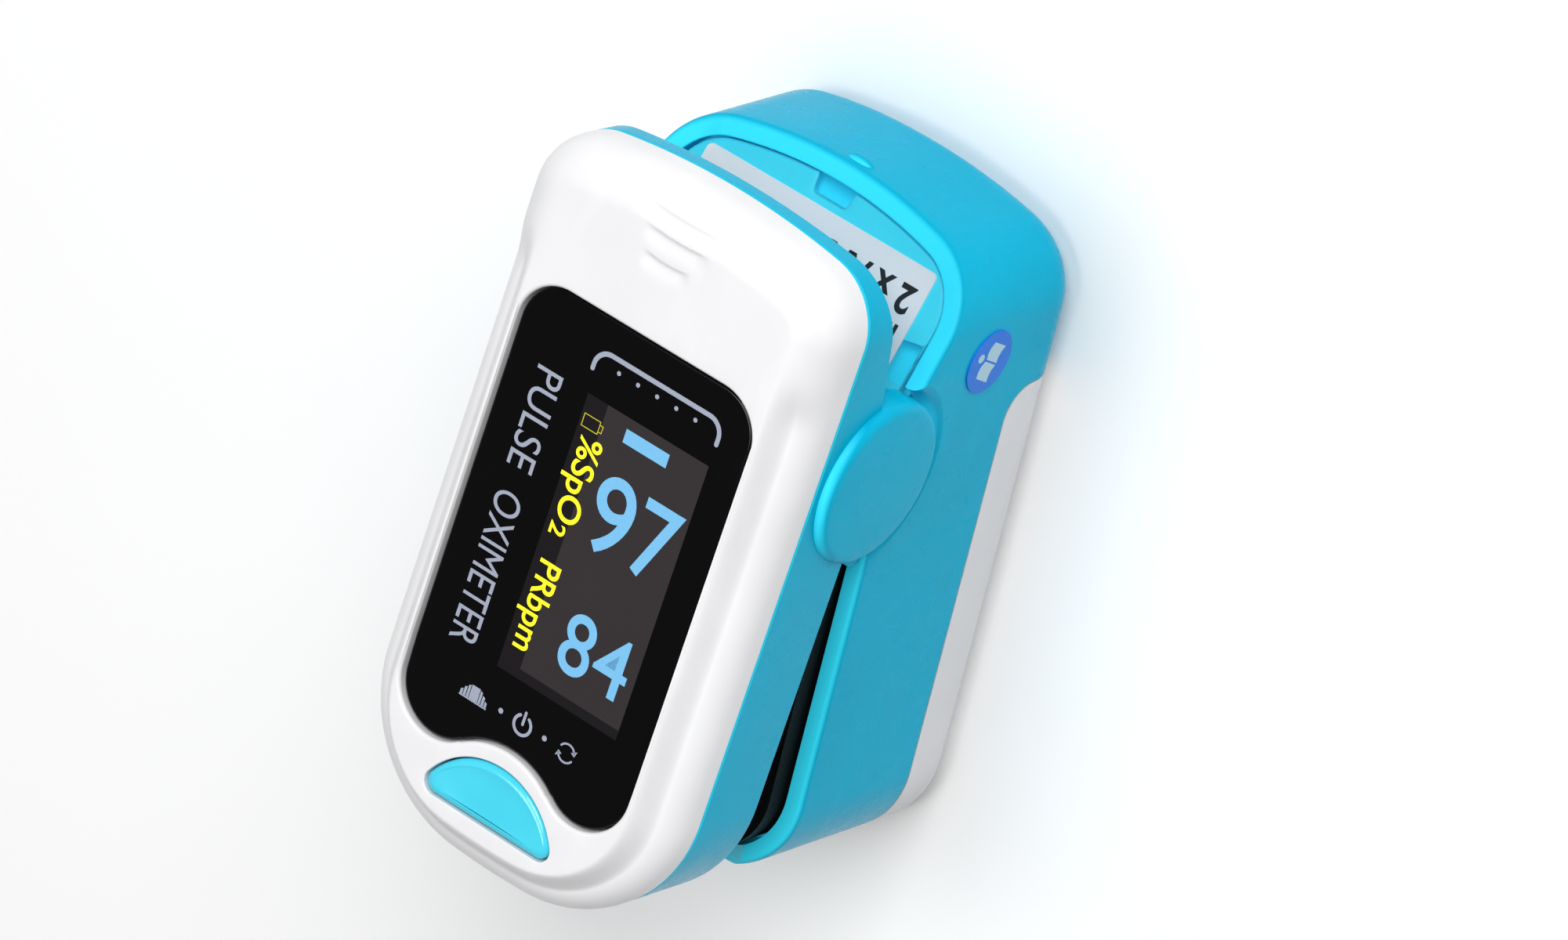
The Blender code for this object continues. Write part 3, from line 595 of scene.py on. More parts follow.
def clear(name, colour):
    """Tinted clear resin, over the light and the sensor."""
    n = Nodes(name)
    cloud = n.noise(1.0)
    n.into("Base Color", n.blend(cloud, darker(colour, 0.8), colour))
    n.into("Roughness", n.spread(cloud, 0.08, 0.2))
    n.bump(cloud, 0.05, 0.02)
    n.set(Transmission_Weight=0.6)
    return n.made


# A moulded plastic's numbers: colour, lowest and highest roughness, and the colour where it is worn.
WHITE = moulded("white_plastic", (0.85, 0.85, 0.865), (0.3, 0.4), (0.92, 0.92, 0.93),
                bump=0.03, specular=0.3)
BACK_WHITE = moulded("white_back_plastic", (0.78, 0.78, 0.8), (0.35, 0.45), (0.84, 0.84, 0.85),
                     bump=0.06)
# The blue shell gets painted light: its upward faces are paler and glow faintly.
BLUE = moulded("blue_plastic", (0.001, 0.45, 0.68), (0.24, 0.32), (0.006, 0.485, 0.73),
               bump=0.008, specular=0.06, painted_top_light=(0.04, 0.72, 0.93))
# Painted light: the battery cover's blue is a paler copy of the shell's blue, standing in for the light that
# reaches the panel under the jaw.
LIT_PANEL_BLUE = moulded("panel_plastic_painted_light", (0.07, 0.78, 0.97), (0.24, 0.32), (0.06, 0.72, 0.92),
                     bump=0.02, specular=0.1)
BUTTON_BLUE = moulded("button_plastic", (0.07, 0.7, 0.9), (0.14, 0.22), (0.1, 0.72, 0.9),
                      coat=0.2, bump=0.03)
BLACK = window_black("window_black")
SILICONE = silicone("black_silicone")
LIT = pixels("display_lit", (0.034, 0.029, 0.031), 0.15)
UNLIT = pixels("display_dim", (0.011, 0.0095, 0.011), 0.15)
FIGURES = printed("figures_blue", (0.17, 0.45, 0.72), 0.2, 0.25)
WORDS = printed("words_yellow", (0.9, 0.85, 0.02), 0.2, 0.4)
ICON = printed("icon_yellow", (0.55, 0.5, 0.03), 0.2, 0.2)
INK = printed("window_print", (0.36, 0.4, 0.5), 0.35)
BOARD = moulded("circuit_board", (0.02, 0.2, 0.07), (0.35, 0.5), (0.05, 0.25, 0.1))
CHIP = moulded("moulded_chip", (0.015, 0.015, 0.015), (0.45, 0.6), (0.03, 0.03, 0.03))
NYLON = moulded("connector_nylon", (0.8, 0.77, 0.68), (0.4, 0.5), (0.85, 0.82, 0.75))
STEEL = metal("steel", (0.62, 0.62, 0.64), 0.3)
NICKEL = metal("nickel", (0.72, 0.7, 0.64), 0.25)
CLEAR = clear("clear_resin", (0.75, 0.35, 0.35))
CELL = moulded("cell_sleeve", (0.05, 0.12, 0.35), (0.25, 0.35), (0.2, 0.25, 0.4))
PAPER = moulded("label_paper", (0.84, 0.85, 0.87), (0.35, 0.5), (0.9, 0.9, 0.9), grain=0.2, bump=0.03)
BARS = printed("label_ink", (0.01, 0.01, 0.012), 0.5)
STICKER_BLUE = moulded("sticker_blue", (0.012, 0.19, 0.78), (0.2, 0.32), (0.03, 0.22, 0.8),
                       bump=0.02, specular=0.15)
PALE = printed("sticker_pale", (0.42, 0.66, 0.78), 0.35)
RIBBON = moulded("ribbon_film", (0.5, 0.25, 0.05), (0.3, 0.4), (0.55, 0.3, 0.1))

SLOT_FINISH = {
    "blue_plastic": BLUE, "white_plastic": WHITE, "black_window": BLACK, "black_silicone": SILICONE,
    "display_glass": UNLIT, "circuit_board": BOARD, "moulded_chip": CHIP, "connector_nylon": NYLON,
    "steel": STEEL, "nickel_contact": NICKEL, "clear_resin": CLEAR, "cell_sleeve": CELL,
    "label_paper": PAPER, "sticker_blue": STICKER_BLUE, "ribbon_film": RIBBON,
}
for part in frame["record"]["subparts"]:
    node = frame["nodes"][part["node"]]
    node.data.materials.clear()
    node.data.materials.append(SLOT_FINISH[part["material_slot"]])
    shade_smooth(node.data, 35)


# ---- the white top cover ----
RIM_TOP = 31.4
RIM_ROUND = 2.2
STEP_IN, STEP_OUT = 1.6, 3.2  # the plateau climbs between these insets
TOP_INSET = 3.3
LEVER_ROUND = 3.6
SHOULDER = (5.0, 8.6)  # the plateau widens over this stretch
COVER_UNDER, COVER_WALL = 30.2, 1.3
HOLE_FLOOR = 31.0
# Each grip is an arc's centre, radius and half angle in degrees.
GRIPS = [((-0.25, 47.9), 33.0, 6.9), ((-0.1, 35.35), 22.0, 7.9), ((-0.4, 21.5), 10.0, 12.7)]
GRIP_DEPTH, GRIP_EDGE, GRIP_REACH = 0.17, 0.42, 1.5


def rounded(distance, radius):
    """How far a quarter round has climbed at this distance from its start."""
    share = min(max(distance / radius, 0.0), 1.0)
    return math.sqrt(max(1 - (1 - share) ** 2, 0.0))


def cover_height(inset, y):
    """The cover's outer surface: rim and plateau towards the mouth, one round edge at the lever end."""
    at_mouth = RIM_TOP - RIM_ROUND + RIM_ROUND * rounded(inset, RIM_ROUND)
    at_mouth += (CREST - RIM_TOP) * smooth((inset - STEP_IN) / (STEP_OUT - STEP_IN))
    at_lever = CREST - LEVER_ROUND + LEVER_ROUND * rounded(inset, LEVER_ROUND)
    share = smooth((y - SHOULDER[0]) / (SHOULDER[1] - SHOULDER[0]))
    return at_mouth + (at_lever - at_mouth) * share


def grip_depth(x, y):
    """Low scallops for a fingertip: a crisp edge towards the lever end, then a soft climb."""
    depth = 0.0
    for (cx, cy), radius, half in GRIPS:
        turn = math.degrees(math.atan2(x - cx, cy - y))
        along = math.hypot(x - cx, y - cy) - radius
        if 0 < along < GRIP_REACH:
            fade = smooth((half - abs(turn)) / (half * 0.45))
            fall = 1 - (1 - min(along / GRIP_EDGE, 1.0)) ** 2
            climb = smooth((GRIP_REACH - along) / 1.25)
            depth = max(depth, GRIP_DEPTH * fade * fall * climb)
    return depth


def grip_spots():
    """Extra points of the cover's mesh, along the scallops."""
    spots = []
    for (cx, cy), radius, half in GRIPS:
        for along in (-0.12, 0.0, 0.05, 0.1, 0.17, 0.26, 0.36, 0.5, 0.7, 0.95, 1.2, 1.5):
            for i in range(37):
                turn = math.radians(-half - 0.5 + (2 * half + 1) * i / 36)
                reach = radius + along
                spot = (cx + reach * math.sin(turn), cy - reach * math.cos(turn))
                if lever_inset(*spot) > TOP_INSET + 0.1:
                    spots.append(spot)
    return spots


def build_cover():
    insets = [RIM_ROUND * (1 - math.cos(math.radians(a))) for a in range(0, 54, 6)]
    insets += [insets[-1] + (TOP_INSET - insets[-1]) * i / 28 for i in range(1, 29)]
    rings = [level(UPPER_PLAN, COVER_WALL, height) for height in (COVER_UNDER, PARTING + 0.1)]
    rings += [level(UPPER_PLAN, 0.12, PARTING), level(UPPER_PLAN, 0.0, PARTING + 0.12)]
    for inset in insets:
        edge = plan(UPPER_PLAN, inset)
        rings.append([(p.x, p.y, cover_height(inset, p.y) - grip_depth(p.x, p.y)) for p in edge])
    skin = Skin()
    skin.rings(rings)

    def height(x, y):
        far = 9.0 if y < SHOULDER[0] else lever_inset(x, y)
        return cover_height(far, y) - grip_depth(x, y)

    holes = []
    for outline, gap, edge in ((window_outline, GAP, 0.28), (button_outline, BUTTON_GAP, 0.12)):
        holes.append(outline(-gap - edge))
        rings = [at(outline(-gap - out), CREST - down) for out, down in quarter(edge, 8)]
        skin.rings(rings + [at(outline(-gap), HOLE_FLOOR)])
    extra = grip_spots()
    for inset in (3.45, 3.65):
        extra += [tuple(p) for p in plan(UPPER_PLAN, inset) if p.y > SHOULDER[0]]
    top = plan(UPPER_PLAN, insets[-1])
    skin.fill([tuple(p) for p in top], height, holes=holes, extra=extra, step=1.1)
    piece(skin.make("cover_shell"), JAW, "jaw", WHITE, ["top_cover"], 40)


def lever_inset(x, y):
    """Distance of a point in from the lever end's outline."""
    crown, corner, bow = UPPER_PLAN["lever"]
    corner_x = HALF - corner
    rise = math.sqrt((bow - corner) ** 2 - corner_x**2)
    corner_y = crown - bow + rise
    if abs(x) > corner_x and y > corner_y:
        return corner - math.hypot(abs(x) - corner_x, y - corner_y)
    return min(HALF - abs(x), bow - math.hypot(x, y - (crown - bow)))


build_cover()


# ---- window and button ----
def build_window():
    foot = LENS_TOP - 0.85
    rings = [at(window_outline(), foot)]
    rings += [at(window_outline(inset), LENS_TOP - down) for down, inset in quarter(0.22, 7)]
    made = closed("window", rings, flat(foot), flat(LENS_TOP))
    piece(made, JAW, "jaw", BLACK, ["display_lens"])


def build_button():
    edge, dish, foot = 0.55, 0.1, 31.1
    rings = [at(button_outline(), foot)]
    for down, inset in quarter(edge, 10):
        rings.append(at(button_outline(inset), BUTTON_TOP - down * 0.8))
    middle = (BUTTON[0].y + BUTTON[1].y) / 2 - 0.3

    def height(x, y):
        spread = max(1 - (x / 5.6) ** 2 - ((y - middle) / 2.2) ** 2, 0.0)
        return BUTTON_TOP - dish * smooth(spread * 1.4)

    made = closed("button_cap", rings, flat(foot), height, last_step=0.35)
    piece(made, JAW, "button", BUTTON_BLUE, ["power_button"])


build_window()
build_button()


# ---- printing and the lit panel ----
DISPLAY_Y = -11.35  # the panel's middle, from the hinge
INK_FILM = (-0.03, 0.012)  # from just inside the window to just above it
LIT_FILM = (-0.01, 0.02)


def up(points):
    """Points measured from the panel's middle."""
    return [Vector((x, y + DISPLAY_Y)) for x, y in points]


def plate(outline, low, high, holes=()):
    """A thin raised shape on the window as (spots, faces)."""
    skin = Skin()
    for height in (low, high):
        skin.fill(outline, lambda x, y, height=height: LENS_TOP + height, holes=holes)
    for loop in [outline, *holes]:
        skin.rings([at(loop, LENS_TOP + low), at(loop, LENS_TOP + high)])
    return skin.spots, skin.faces


def together(name, shapes, finish, body="jaw", carry=JAW):
    """One piece from several shapes."""
    spots, faces = [], []
    for some, sides in shapes:
        first = len(spots)
        spots += some
        faces += [[first + i for i in face] for face in sides]
    return piece(solid(name, spots, faces), carry, body, finish)


def rectangle(x, y):
    return up([(x[0], y[0]), (x[1], y[0]), (x[1], y[1]), (x[0], y[1])])


def stroke(points, width):
    """The outline of a line drawn with a round pen."""
    spots, cap = [Vector(p) for p in points], 8
    left, right = [], []
    for i, spot in enumerate(spots):
        along = (spots[min(i + 1, len(spots) - 1)] - spots[max(i - 1, 0)]).normalized()
        side = Vector((-along.y, along.x)) * width / 2
        left.append(spot + side)
        right.append(spot - side)
    ends = []
    for spot, near in ((spots[-1], left[-1]), (spots[0], right[0])):
        start = math.degrees(math.atan2(*(near - spot).yx))
        ends.append([Vector(p) for p in arc(spot, width / 2, start, start - 180, cap)][1:-1])
    return up(left + ends[0] + right[::-1] + ends[1])


def disc(x, y, radius):
    return up(arc((x, y), radius, 0, 342, 19))


def bars(x, y, line, sides):
    """Some sides of an upright box as thin bars, each as its spans in x and y."""
    every = {
        "top": (x, (y[1] - line, y[1])),
        "bottom": (x, (y[0], y[0] + line)),
        "left": ((x[0], x[0] + line), (y[0] + line, y[1] - line)),
        "right": ((x[1] - line, x[1]), (y[0] + line, y[1] - line)),
    }
    return [every[side] for side in sides]


def lettering(text, start, length, height, weight=0.0, run=(0, -1), thick=INK_FILM):
    """Words as (spots, faces), fitted to a length and a height, and the way that they run."""
    curve = bpy.data.curves.new("words", "FONT")
    curve.body = text
    curve.offset = weight
    curve.resolution_u = 8
    holder = shown("words", curve)
    graph = bpy.context.evaluated_depsgraph_get()
    graph.update()
    mesh = bpy.data.meshes.new_from_object(holder.evaluated_get(graph))
    bpy.data.objects.remove(holder, do_unlink=True)
    form = bmesh.new()
    form.from_mesh(mesh)
    bmesh.ops.remove_doubles(form, verts=form.verts, dist=1e-6)
    xs, ys = [v.co.x for v in form.verts], [v.co.y for v in form.verts]
    for vertex in form.verts:
        along = (vertex.co.x - min(xs)) / (max(xs) - min(xs)) * length
        rise = (vertex.co.y - min(ys)) / (max(ys) - min(ys)) * height
        x = start[0] + along * run[0] - rise * run[1]
        y = start[1] + along * run[1] + rise * run[0]
        vertex.co = (x, y + DISPLAY_Y, LENS_TOP + thick[0])
    drawn = bmesh.ops.extrude_face_region(form, geom=form.faces[:])["geom"]
    lifted = [v for v in drawn if isinstance(v, bmesh.types.BMVert)]
    bmesh.ops.translate(form, verts=lifted, vec=(0, 0, thick[1] - thick[0]))
    form.verts.index_update()
    result = [tuple(v.co) for v in form.verts], [[v.index for v in face.verts] for face in form.faces]
    form.free()
    bpy.data.meshes.remove(mesh)
    return result


def build_display():
    panel = rectangle((-3.25, 7.7), (-10.5, 11.25))
    together("display_panel", [plate(panel, -0.03, 0.006)], UNLIT)
    lit = rectangle((-1.4, 7.7), (-9.75, 11.25))
    together("display_area", [plate(lit, -0.02, 0.012)], LIT)
    across, down = (1, 0), (0, -1)
    figures = [plate(rectangle((0.6, 4.5), (9.4, 10.45)), *LIT_FILM)]
    for figure, start, length, height in (
        ("9", (0.0, 1.05), 3.45, 5.95),
        ("7", (4.0, 1.15), 3.4, 5.75),
        ("8", (1.05, -8.15), 2.7, 4.7),
        ("4", (4.05, -8.05), 2.95, 4.6),
    ):
        figures.append(lettering(figure, start, length, height, 0.005, across, LIT_FILM))
    together("display_figures", figures, FIGURES)
    words = []
    for word, start, length, height, weight in (
        ("%SpO", (-3.3, 8.4), 6.65, 2.6, 0.012),
        ("2", (-2.8, 1.5), 0.95, 1.35, 0.014),
        ("PRbpm", (-3.25, -1.45), 7.0, 2.5, 0.012),
    ):
        words.append(lettering(word, start, length, height, weight, down, LIT_FILM))
    together("display_words", words, WORDS)
    cell = bars((-3.0, -1.5), (8.85, 9.85), 0.06, ("top", "bottom", "left", "right"))
    cell += bars((-1.5, -1.2), (9.05, 9.62), 0.06, ("top", "bottom", "right"))
    icon = [plate(rectangle(x, y), *LIT_FILM) for x, y in cell]
    together("battery_icon", icon, ICON)


def finger_mark():
    """A fingertip as seven upright bars whose tops fall away from the middle, over a base line."""
    middle, bottom, slant = -4.25, -13.9, 0.1
    half = [(1.1, 0.2, -13.5), (0.82, 0.22, -13.2), (0.54, 0.2, -12.95)]
    outlines = []
    for away, width, top in [(-a, w, t) for a, w, t in half] + [(0.0, 0.76, -12.78)] + half[::-1]:
        left, right = middle + away - width / 2, middle + away + width / 2
        left_top, right_top = top + slant * (away > 0), top + slant * (away < 0)
        outlines.append(up([(left, bottom), (right, bottom), (right, right_top), (left, left_top)]))
    return outlines + [rectangle((-5.5, -3.0), (-13.98, -13.86))]


def power_mark(x, y):
    """A broken ring and a stroke through its gap."""
    return [stroke(arc((x, y), 0.74, 122, 418, 32), 0.24),
            stroke([(x, y + 0.05), (x, y + 0.55), (x, y + 0.98)], 0.22)]


def turn_mark(x, y):
    """Two arrows that chase each other round."""
    outlines = []
    for start in (20, 200):
        outlines.append(stroke(arc((x, y), 0.7, start, start + 128, 16), 0.15))
        tip, base = math.radians(start - 16), math.radians(start + 12)
        head = ((tip, 0.7), (base, 1.0), (base, 0.42))
        outlines.append(up([(x + r * math.cos(t), y + r * math.sin(t)) for t, r in head]))
    return outlines


def build_print():
    shapes = [lettering("PULSE", (-7.8, 11.2), 7.75, 2.35)]
    shapes.append(lettering("OXIMETER", (-7.8, 1.55), 12.05, 2.35))
    left, right = arc((-2.35, 13.4), 1.2, 180, 90, 10), arc((6.5, 13.4), 1.2, 90, 0, 10)
    outlines = [stroke([(-3.55, 13.05)] + left + right + [(7.7, 12.95)], 0.36)]
    outlines += [disc(x, 13.72, 0.17) for x in (-1.4, 0.33, 2.06, 3.79, 5.52)]
    outlines += finger_mark()
    outlines += [disc(x, -13.35, 0.21) for x in (-1.8, 2.25)]
    outlines += power_mark(0.22, -13.4) + turn_mark(4.3, -13.42)
    shapes += [plate(outline, *INK_FILM) for outline in outlines]
    together("window_print", shapes, INK)


build_display()
build_print()


# ---- the light blue upper frame ----
SCREW = (9.4, 11.0)
FRAME_ARCH, FRAME_ARCH_DROP = 9.0, 5.2  # the mouth's round opening, and its axis below the hinge


def pocket_outline(shape, inset, end):
    """The mouth part of a plan outline, closed by a straight edge."""
    side = HALF - inset
    rows = [p for p in plan(shape, inset) if p.y < -20.0]
    return rows + [Vector((side, end)), Vector((-side, end))]


def ear_profile():
    """A low dome with a soft edge."""
    start, edge, dome = HALF - 1.6, 0.75, 0.12
    rows = [(start, EAR_RADIUS)]
    rows += [(EAR_FACE - dome - back, EAR_RADIUS - down) for back, down in quarter(edge, 8)]
    for share in (0.85, 0.7, 0.55, 0.4, 0.25, 0.1):
        rows.append((EAR_FACE - dome * share**2, (EAR_RADIUS - edge) * share))
    return rows


def build_upper_frame():
    rings = []
    for inset, rise in quarter(0.2, 7):
        rings.append(level(UPPER_PLAN, inset, lambda y, rise=rise: band_height(y) + rise))
    top = PARTING - 0.1
    rings.append(level(UPPER_PLAN, 0.0, top - 0.1))
    rings.append(level(UPPER_PLAN, 0.1, top))
    made = closed("frame_shell", rings, lambda x, y: band_height(y), flat(top), first_step=1.5)
    floor = UPPER_PAD[1].z + 0.3
    cuts = [prism(pocket_outline(UPPER_PLAN, WALL, PAD_END + 0.3), HINGE_Z - 1, floor)]
    cuts.append(block((-HALF + WALL, HALF - WALL), (PAD_END - 1, 4.6), (HINGE_Z - 1, floor)))
    axis = HINGE_Z - FRAME_ARCH_DROP
    cuts.append(rod(FRAME_ARCH, (0, -45, axis), (0, -30, axis)))
    cuts.append(rod(OPTICS_HOLE, (0, OPTICS_Y, 24), (0, OPTICS_Y, 28)))
    for x in (SCREW[0], -SCREW[0]):
        cuts.append(rod(2.1, (x, SCREW[1], 20), (x, SCREW[1], 26.4), 40))
        cuts.append(rod(1.15, (x, SCREW[1], 20), (x, SCREW[1], 28.2), 32))
    combine(made, "DIFFERENCE", *cuts)
    for side in (1, -1):
        combine(made, "UNION", turned(ear_profile(), side))
        combine(made, "DIFFERENCE", rod(PIN_HOLE, (side * 12, 0, HINGE_Z), (side * 14.2, 0, HINGE_Z), 40))
    piece(made, JAW, "jaw", BLUE, ["upper_frame"])


build_upper_frame()


# ---- the lower shell ----
BACK_FROM, BACK_RADIUS, BACK_TURN = 7.2, 16.0, math.radians(25.0)
LEVER_EDGE = 3.3
SEAM = 0.08  # half the gap between the blue shell and its white back
MOUTH_ARCH, ARCH_RISE = 17.0, 11.9
LUG, LUG_RADIUS = (10.8, 12.1), 3.4  # a hinge lug's span from the middle, and its round top
CHEEK = (10.7, 13.4)  # the thick wall by the ear


def back_height(y):
    """Underside along the middle: flat, then curving up to the lever end."""
    if y <= BACK_FROM:
        return 0.0
    end = BACK_FROM + BACK_RADIUS * math.sin(BACK_TURN)
    if y <= end:
        return BACK_RADIUS - math.sqrt(BACK_RADIUS**2 - (y - BACK_FROM) ** 2)
    centre_y = end - LEVER_EDGE * math.sin(BACK_TURN)
    centre_z = BACK_RADIUS * (1 - math.cos(BACK_TURN)) + LEVER_EDGE * math.cos(BACK_TURN)
    return centre_z - math.sqrt(max(LEVER_EDGE**2 - (y - centre_y) ** 2, 0.0))


def under_height(inset, y):
    """Underside at a distance in from the side: the rounded edge and the curve combined."""
    edge = BACK_EDGE * (1 - rounded(inset, BACK_EDGE))
    along = back_height(y)
    return (edge**3 + along**3) ** (1 / 3)


def lower_form():
    """The whole lower shell as one form, with a soft outer rim."""
    soft, lip, sunk = 0.45, 0.2, 2.1
    rings = [lower_level(RECESS_INSET, lambda y: rim_height(y) - sunk)]
    edges = [(RECESS_INSET - out, down) for down, out in quarter(lip, 5)] + quarter(soft, 8)
    for inset, down in edges:
        rings.append(lower_level(inset, lambda y, down=down: rim_height(y) - down))
    insets = [BACK_EDGE * (1 - math.cos(math.radians(a))) for a in range(0, 91, 6)]
    for inset in insets + [3.6, 4.2, 4.9]:
        rings.append(lower_level(inset, lambda y, inset=inset: under_height(inset, y)))
    floor, under = lambda x, y: rim_height(y) - sunk, lambda x, y: under_height(9.0, y)
    return closed("lower", rings, floor, under, 1.5, 0.8)


def back_region(grow):
    """What the white back takes of the lower shell, as (y, z), with one rounded corner."""
    end, top, corner = BACK_END + grow, BACK_PARTING + grow, 2.6
    turn = arc((end - corner, top - corner), corner, 0, 90, 16)
    return [(-45, -1), (end, -1)] + turn + [(-45, top)]


def recess_profile():
    """The round hollow that takes the ear, flaring softly to the shell's side."""
    start, flare, hollow = 12.2, 1.15, EAR_RADIUS + 0.4
    rows = [(start, hollow), (HALF - flare, hollow)]
    for i in range(1, 9):
        turn = math.radians(80 * i / 8)
        rows.append((HALF - flare * (1 - math.sin(turn)), hollow + flare * (1 - math.cos(turn))))
    rows.append((HALF + 1.5, rows[-1][1] + 0.6))
    return rows


def both(side, near, far):
    """The span between two distances from the middle, on one side."""
    return sorted((side * near, side * far))


def build_lower():
    housing = lower_form()
    cuts = [sideways(back_region(SEAM))]
    cuts.append(leaned(prism(pocket_outline(LOWER_PLAN, WALL, PAD_END + 0.3), 16.0, RIM + 1)))
    across = (-HALF + 2.4, HALF - 2.4)
    cuts.append(block(across, (PAD_END + 1.4, COVER_START - 1.4), (13.9, RIM + 1)))
    axis = HINGE_Z + ARCH_RISE
    cuts.append(rod(MOUTH_ARCH, (0, -45, axis), (0, -30, axis), 160))
    combine(housing, "DIFFERENCE", *cuts)
    combine(housing, "UNION", pebble((0.5, HOUSING[1].y - 0.3, 11.35), (1.2, 0.62, 0.5)))
    for side in (1, -1):
        combine(housing, "UNION", block(both(side, *CHEEK), (-7.6, -1), (17, RIM - 0.4)))
        combine(housing, "DIFFERENCE", turned(recess_profile(), side))
        near, far = (side * x for x in LUG)
        combine(housing, "UNION", block(both(side, *LUG), (-LUG_RADIUS, LUG_RADIUS), (17, HINGE_Z)))
        combine(housing, "UNION", rod(LUG_RADIUS, (near, 0, HINGE_Z), (far, 0, HINGE_Z)))
        combine(housing, "DIFFERENCE", rod(PIN_HOLE, (side * 10, 0, HINGE_Z), (side * 13, 0, HINGE_Z), 40))
    piece(housing, BASE, "base", BLUE, ["lower_housing"]).name = "housing_shell"
    back = combine(lower_form(), "INTERSECT", sideways(back_region(-SEAM)))
    piece(back, BASE, "base", BACK_WHITE, ["back_cover"]).name = "back_shell"


build_lower()


# ---- battery cover, label and sticker ----
def lever_part(inset, start):
    """The lever end of the lower plan, closed by a straight edge."""
    rows = [p for p in plan(LOWER_PLAN, inset) if p.y > start + 0.3]
    return rows + [Vector((-HALF + inset, start)), Vector((HALF - inset, start))]


def notched(outline, half, depth):
    """Puts a rounded nail notch in the middle of the lever edge."""
    crown, corner = max(p.y for p in outline), 0.35
    edge = crown - 1.0
    rows = [p for p in outline if p.y <= edge or abs(p.x) >= half + 0.25]
    floor = crown - depth + corner
    notch = [(half + 0.2, crown)] + arc((half - corner, floor), corner, 0, -90, 5)
    notch += arc((-half + corner, floor), corner, -90, -180, 5) + [(-half - 0.2, crown)]
    place = next(i for i, p in enumerate(rows) if p.x < 0 and p.y > edge)
    return rows[:place] + [Vector(p) for p in notch] + rows[place:]


def shrunk(outline, distance):
    """A loop moved inwards along its corners' normals."""
    moved = []
    count = len(outline)
    for i, p in enumerate(outline):
        before, after = outline[i - 1], outline[(i + 1) % count]
        one = Vector((p[0] - before[0], p[1] - before[1])).normalized()
        two = Vector((after[0] - p[0], after[1] - p[1])).normalized()
        side = Vector((-(one.y + two.y), one.x + two.x))
        side = side.normalized() if side.length > 1e-9 else Vector((-one.y, one.x))
        reach = distance / max(side.dot(Vector((-one.y, one.x))), 0.5)
        moved.append((p[0] + side.x * reach, p[1] + side.y * reach))
    return moved


def cover_slope(x, y):
    """The battery cover's upper face, as a surface for filling."""
    return rim_height(y) - COVER_SUNK


def build_battery_cover():
    """The sunk sloping panel. Its edge tapers underneath, which leaves room for its tilt."""
    plain = notched(lever_part(PANEL_INSET, COVER_START), 1.5, 1.45)
    outline = [(x, y + lean(y, cover_slope(x, y))) for x, y in plain]
    soft, thick = 0.16, 0.85
    rings = []
    for down, inset in ((thick, 0.22), (thick - 0.12, 0.1), (soft, 0.0), (soft * 0.4, 0.05), (0.0, soft)):
        rings.append([(x, y, cover_slope(x, y) - down) for x, y in shrunk(outline, inset)])
    under = lambda x, y: cover_slope(x, y) - thick
    made = closed("battery_panel", rings, under, cover_slope, last_step=1.5)
    # The panel's paler blue is painted light on the shell's own plastic.
    piece(made, BASE, "battery_lid", LIT_PANEL_BLUE, ["battery_cover"])


def on_slope(shapes):
    """Carries flat shapes from the window's height to the battery cover's slope."""
    spots, faces = shapes
    return [(x, y, cover_slope(x, y) + z - LENS_TOP) for x, y, z in spots], faces


def build_label():
    corners = arc((LABEL[1].x - 0.4, LABEL[1].y - 0.4), 0.4, 0, 90, 6)
    outline = corners + [(-x, y) for x, y in corners[::-1]]
    outline += [(LABEL[0].x, LABEL[0].y), (LABEL[1].x, LABEL[0].y)]
    paper = on_slope(plate(outline, -0.05, 0.1))
    sheet = together("label_sheet", [paper], PAPER, "battery_lid", BASE)
    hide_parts("rating_label")
    ink = (0.09, 0.115)
    words = lettering("2 x AAA 1.5V", (9.6, 11.1 - DISPLAY_Y), 15.0, 1.9, 0.025, (-1, 0), ink)
    marks = [on_slope(words)]
    right, low, high = 9.6, 6.0, 8.6
    for width, gap in (
        (0.3, 0.22), (0.12, 0.16), (0.12, 0.3), (0.3, 0.18), (0.12, 0.14), (0.2, 0.3), (0.12, 0.2),
        (0.34, 0.16), (0.12, 0.24), (0.22, 0.2), (0.12, 0.16), (0.3, 0.3), (0.12, 0.2), (0.2, 0.2),
    ):
        left = right - width
        bar = [(left, low), (right, low), (right, high), (left, high)]
        marks.append(on_slope(plate(bar, *ink)))
        right = left - gap
    together("label_marks", marks, BARS, "battery_lid", BASE)


def sticker_part(name, outlines, low, high, finish, replaces=()):
    """Flat shapes stood up against the housing's side, turned a little round the sticker's middle."""
    middle = (STICKER[0] + STICKER[1]) / 2
    tilt = Matrix.Rotation(math.radians(-28), 2)
    spots, faces = [], []
    for outline in outlines:
        laid = [tilt @ Vector(p) + middle.yz for p in outline]
        some, sides = plate(laid, low - LENS_TOP, high - LENS_TOP)
        first = len(spots)
        spots += [(z, x, y) for x, y, z in some]
        faces += [[first + i for i in face] for face in sides]
    piece(solid(name, spots, faces), BASE, "base", finish, replaces)


def build_sticker():
    """A blue disc with a pale open book and a dot above it."""
    face = STICKER[1].x
    radius = (STICKER[1].y - STICKER[0].y) / 2
    outline = arc((0, 0), radius, 0, 355, 71)
    low, high = STICKER[0].x - 0.04, face - 0.02
    sticker_part("sticker_disc", [outline], low, high, STICKER_BLUE, ["guide_sticker"])
    page = [(0.08, -0.95), (0.5, -0.78), (1.0, -0.8), (1.45, -0.98)]
    page += [(1.45, 0.62), (1.0, 0.8), (0.5, 0.8), (0.08, 0.6)]
    book = [[(side * x, y) for x, y in page] for side in (1, -1)] + [arc((0, 1.35), 0.34, 0, 345, 23)]
    sticker_part("sticker_book", book, face - 0.03, face, PALE)


build_battery_cover()
build_label()
build_sticker()


